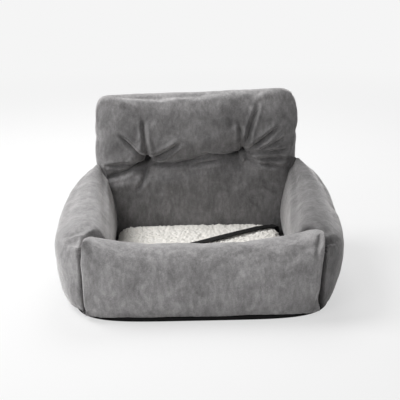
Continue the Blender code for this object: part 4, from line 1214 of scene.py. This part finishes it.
def buildSpring():
    spring = copyOf("snap_spring", "boltSpring")
    smoothShade(spring, 50)
    dress(spring, springSteel, "spring_steel", "snap", "snap_spring")
    place = getPoints(spring)
    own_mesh(spring)
    return spring


boltSpring = buildSpring()
print("spring wound")


tether = {
    "corner": (0.1737, 0.1202, 0.0),
    "along": (-0.857167, -0.515038, 0.0),
    "width": 0.02,
    "thickness": 0.0015,
    "length": 0.35,
    "bow": 0.008,
    "bowRun": 0.25,
    "riserEnd": (0, 0.0522),
    "riserFoot": 0.028,
    "riserRise": 0.03,
    "curlReach": 0.005,
    "curlGap": 0.0004,
    "stitchRows": ((0.2715, 0.0683), (0.2665, 0.0684), (0.2615, 0.0686)),
    "stitchSides": (-0.0072, -0.0036, 0, 0.0036, 0.0072),
    "laid": (0.0005, 0.235),
    "route": [
        (0, 0.0281), (0, 0.0401), (0, 0.0522), (0.0003, 0.054), (0.0011, 0.0557), (0.0025, 0.057),
        (0.0041, 0.0579), (0.006, 0.0582), (0.015, 0.0582), (0.024, 0.059), (0.033, 0.06),
        (0.042, 0.0613), (0.051, 0.0625), (0.06, 0.0635), (0.078, 0.0648), (0.096, 0.0656),
        (0.114, 0.0662), (0.132, 0.0666), (0.15, 0.0668), (0.18, 0.0668), (0.21, 0.0667),
        (0.24, 0.0662), (0.258, 0.0656), (0.276, 0.0648), (0.285, 0.066), (0.2862, 0.0663),
        (0.2872, 0.0669), (0.2878, 0.068), (0.288, 0.0692), (0.2877, 0.0703), (0.287, 0.0713),
        (0.2859, 0.0719), (0.2847, 0.072), (0.2836, 0.0717), (0.2741, 0.0672), (0.2666, 0.0675),
        (0.259, 0.0679),
    ],
}


def tetherPoint(run, height):
    # the strap follows the mat up towards the rear, and bows a little on its way
    place = Vector(tether["corner"]) + Vector(tether["along"]) * run + Vector((0, 0, height))
    lift = float(rearRise(place.y)) * min(max((height - tether["riserFoot"]) / tether["riserRise"], 0), 1)
    bow = tether["bow"] * math.sin(math.pi * min(run / tether["bowRun"], 1))
    return place + Vector((bow, 0, lift))


def layOnPile(path, across):
    # the strap rests on the highest curls below it
    graph = bpy.context.evaluated_depsgraph_get()
    tree = BVHTree.FromObject(pileMat, graph)
    ahead = Vector(tether["along"])
    for point, (run, _) in zip(path, tether["route"]):
        if not tether["laid"][0] <= run <= tether["laid"][1]:
            continue
        tops = []
        for side in (-1, -0.5, 0, 0.5, 1):
            for step in (-tether["curlReach"], 0, tether["curlReach"]):
                above = point + across * (side * tether["width"] / 2) + ahead * step + Vector((0, 0, 0.05))
                hit = tree.ray_cast(above, Vector((0, 0, -1)))[0]
                if hit is not None:
                    tops.append(hit.z)
        if tops:
            point.z = max(point.z, max(tops) + tether["thickness"] / 2 + tether["curlGap"])


def buildTether():
    t = tether
    across = Vector(t["along"]).cross(Vector((0, 0, 1)))
    path = [tetherPoint(*p) for p in t["route"]]
    layOnPile(path, across)
    strap = ribbon("tetherStrap", path, across, t["width"], t["thickness"], 330)
    dress(strap, wovenWebbing, "webbing", None, "tether_strap")
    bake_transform(strap)
    places = []
    for run, height in t["stitchRows"]:
        for side in t["stitchSides"]:
            places.append(tetherPoint(run, height) + across * side)
    addStitches("tetherStitches", places, across, 0.003, 0.00035, "mat")


buildTether()
print("tether laid")


# Belt loops: arched webbing on the rear of the back cushion, sewn at both feet
beltLoop = {
    "x": 0.072,
    "width": 0.038,
    "thickness": 0.0021,
    "rowSeam": 0.014,
    "rowsApart": 0.0075,
    "sideSeam": 0.006,
    "sidesApart": 0.016,
    "stitchPitch": 0.004,
    "stitch": 0.0031,
    "profile": [
        (0.2437, 0.0775), (0.245, 0.088), (0.2462, 0.0973), (0.2518, 0.1039), (0.256, 0.1108),
        (0.2592, 0.1178), (0.2615, 0.125), (0.2629, 0.1323), (0.2634, 0.1397), (0.2631, 0.1472),
        (0.2618, 0.1548), (0.2596, 0.1626), (0.256, 0.1707), (0.2565, 0.18), (0.257, 0.1905),
    ],
}


def buildLoops(settings):
    s = settings
    for name, side in (("Left", -1), ("Right", 1)):
        path = [(side * s["x"], y, z) for y, z in s["profile"]]
        loop = ribbon("beltLoop" + name, path, (1, 0, 0), s["width"], s["thickness"], 100, 16)
        dress(loop, wovenWebbing, "webbing", "seat", "belt_loop_" + name.lower())
        for end, low, high in (("Low", 0, 2), ("High", 12, 14)):
            a, b = Vector(path[low]), Vector(path[high])
            up = (b - a).normalized()
            right = Vector((1, 0, 0))
            out = up.cross(right)
            middle = (a + b) / 2 + out * (s["thickness"] / 2 + 0.0001)
            seams = (
                ("loopStitches", right, s["rowSeam"], up, s["rowsApart"]),
                ("loopSideStitches", up, s["sideSeam"], right, s["sidesApart"]),
            )
            for kind, ahead, half, aside, apart in seams:
                runs = np.arange(-half, half + 0.0001, s["stitchPitch"])
                places = [middle + aside * h + ahead * run for h in (-apart, apart) for run in runs]
                addStitches(kind + name + end, places, ahead, s["stitch"], 0.0004, "seat")


buildLoops(beltLoop)
print("belt loops sewn")


# Zip: two woven tapes with a row of moulded coil teeth, and a bevelled slider and pull
zipChain = {
    "halfLength": 0.165,
    "y": 0.22826,
    "z": 0.046,
    "tapeWidth": 0.024,
    "tapeThickness": 0.0009,
    "toothPitch": 0.0022,
    "toothSunk": 0.0004,
    "teethHalf": 0.0023,
    "teethHeight": 0.0014,
    "endStop": 0.004,
}


def softened(nodeName, name, width, body):
    # a copy of a CAD piece with its edges rounded
    obj = copyOf(nodeName, name)
    meshOps(obj, ("remove_doubles", {"threshold": 0.00001}), ("dissolve_limited", {"angle_limit": 0.02}))
    bevel(obj, width, 2, 35)
    smoothShade(obj, 35)
    dress(obj, zipNylon, "nylon", body, nodeName)


def buildZip(settings):
    s = settings
    path = [(x, s["y"] + s["tapeThickness"] / 2, s["z"]) for x in (-s["halfLength"], 0, s["halfLength"])]
    tapes = ribbon("zipTape", path, (0, 0, 1), s["tapeWidth"], s["tapeThickness"], 60, 8)
    reach = s["halfLength"] - s["endStop"]
    count = int(2 * reach / s["toothPitch"])
    bpy.ops.mesh.primitive_cube_add(size=1)
    teeth = named("zipTeeth")
    pitch, sunk = s["toothPitch"], s["toothSunk"]
    size = (pitch * 0.6, s["teethHeight"] + sunk, 2 * s["teethHalf"])
    centreY = s["y"] + s["tapeThickness"] + (s["teethHeight"] - sunk) / 2
    setPoints(teeth, getPoints(teeth) * size + (-reach + pitch / 2, centreY, s["z"]))
    bevel(teeth, 0.0003, 2)
    repeat(teeth, count, (pitch, 0, 0))
    smoothShade(teeth, 40)
    selectOnly(tapes, teeth)
    bpy.context.view_layer.objects.active = tapes
    bpy.ops.object.join()
    tapes.name = "zipChain"
    dress(tapes, zipNylon, "nylon", "seat", "back_zip_chain")
    softened("back_zip_slider", "zipSlider", 0.00035, "zip_slider")
    softened("back_zip_pull", "zipPull", 0.0004, "zip_pull")


buildZip(zipChain)
print("zip closed")


# Tuft ties: waxed thread pulled tight through the cushion, a short bevelled cylinder at each tuft
tuftTies = {"halfLength": 0.0075, "radius": 0.0013}


def buildTies(settings):
    form = {"vertices": 16, "radius": settings["radius"], "depth": 2 * settings["halfLength"]}
    form["rotation"] = (math.pi / 2 - backCushion["lean"], 0, 0)
    for name in ("left", "right"):
        low, high = (Vector(corner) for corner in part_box("tuft_tie_" + name))
        bpy.ops.mesh.primitive_cylinder_add(location=(low + high) / 2, **form)
        tie = named("tuftTie" + name.title())
        bakePlace(tie)
        bevel(tie, 0.0004, 2, 40)
        smoothShade(tie, 40)
        dress(tie, waxedThread, "thread", "seat", "tuft_tie_" + name)


buildTies(tuftTies)
print("tufts tied")


# Floor and soft studio light
studio = {
    "floorColour": "#f2f2f2",
    "backdrop": "#f5f5f5",
    "ambient": 0.18,
    # where the floor starts and ends to pass into the backdrop, and the backdrop's share before that
    "sweep": (0.9, 2.6, 0.66),
    "aimHeight": 0.15,
    # place, size and power
    "lights": {
        "keyLight": ((-1.5, 0.45, 2.1), 1.5, 56),
        "fillLight": ((-1.5, -2.1, 1.3), 1.8, 20),
        "rimLight": ((0.1, 1.5, 1.9), 1.4, 25),
    },
}


def emptyTree(owner):
    owner.use_nodes = True
    owner.node_tree.nodes.clear()
    return owner.node_tree


def addStudio(settings):
    bpy.ops.mesh.primitive_plane_add(size=14)
    floor = named("studioFloor")
    material = bpy.data.materials.new("paperSweep")
    tree = emptyTree(material)
    path = addNode(tree, "LightPath")
    plainColour = {"Color": colourOf(settings["backdrop"]), "Strength": 1.0}
    lit = addNode(tree, "BsdfDiffuse", values={"Color": colourOf(settings["floorColour"])})
    glow = addNode(tree, "Emission", values=plainColour)
    # far from the object the floor passes into the plain backdrop
    place = addNode(tree, "TexCoord")
    away = addNode(tree, "VectorMath", {0: (place, "Object")}, operation="LENGTH")
    reach = dict(zip(("From Min", "From Max", "To Min"), settings["sweep"]))
    plain = addNode(tree, "MapRange", {"Value": (away, "Value")}, reach, interpolation_type="SMOOTHSTEP")
    share = addNode(tree, "Math", {0: (path, "Is Camera Ray"), 1: (plain, "Result")}, operation="MULTIPLY")
    mixed = addNode(tree, "MixShader", {0: (share, 0), 1: (lit, 0), 2: (glow, 0)})
    addNode(tree, "OutputMaterial", {"Surface": (mixed, 0)})
    floor.data.materials.append(material)

    world = bpy.data.worlds.new("studioWorld")
    bpy.context.scene.world = world
    tree = emptyTree(world)
    path = addNode(tree, "LightPath")
    seen = (path, "Is Camera Ray")
    for ray in ("Is Glossy Ray", "Is Transmission Ray"):
        seen = (addNode(tree, "Math", {0: seen, 1: (path, ray)}, operation="MAXIMUM"), 0)
    soft = addNode(tree, "Background", values={"Color": (1, 1, 1, 1), "Strength": settings["ambient"]})
    shown = addNode(tree, "Background", values=plainColour)
    mixed = addNode(tree, "MixShader", {0: seen, 1: (soft, 0), 2: (shown, 0)})
    addNode(tree, "OutputWorld", {"Surface": (mixed, 0)})

    for name, (place, size, power) in settings["lights"].items():
        bpy.ops.object.light_add(type="AREA", location=place)
        light = named(name)
        light.data.shape = "DISK"
        light.data.size = size
        light.data.energy = power
        back = Vector(place) - Vector((0, 0, settings["aimHeight"]))
        light.rotation_euler = back.to_track_quat("Z", "Y").to_euler()


addStudio(studio)
bpy.context.scene.view_settings.view_transform = "Standard"
print("studio lit")
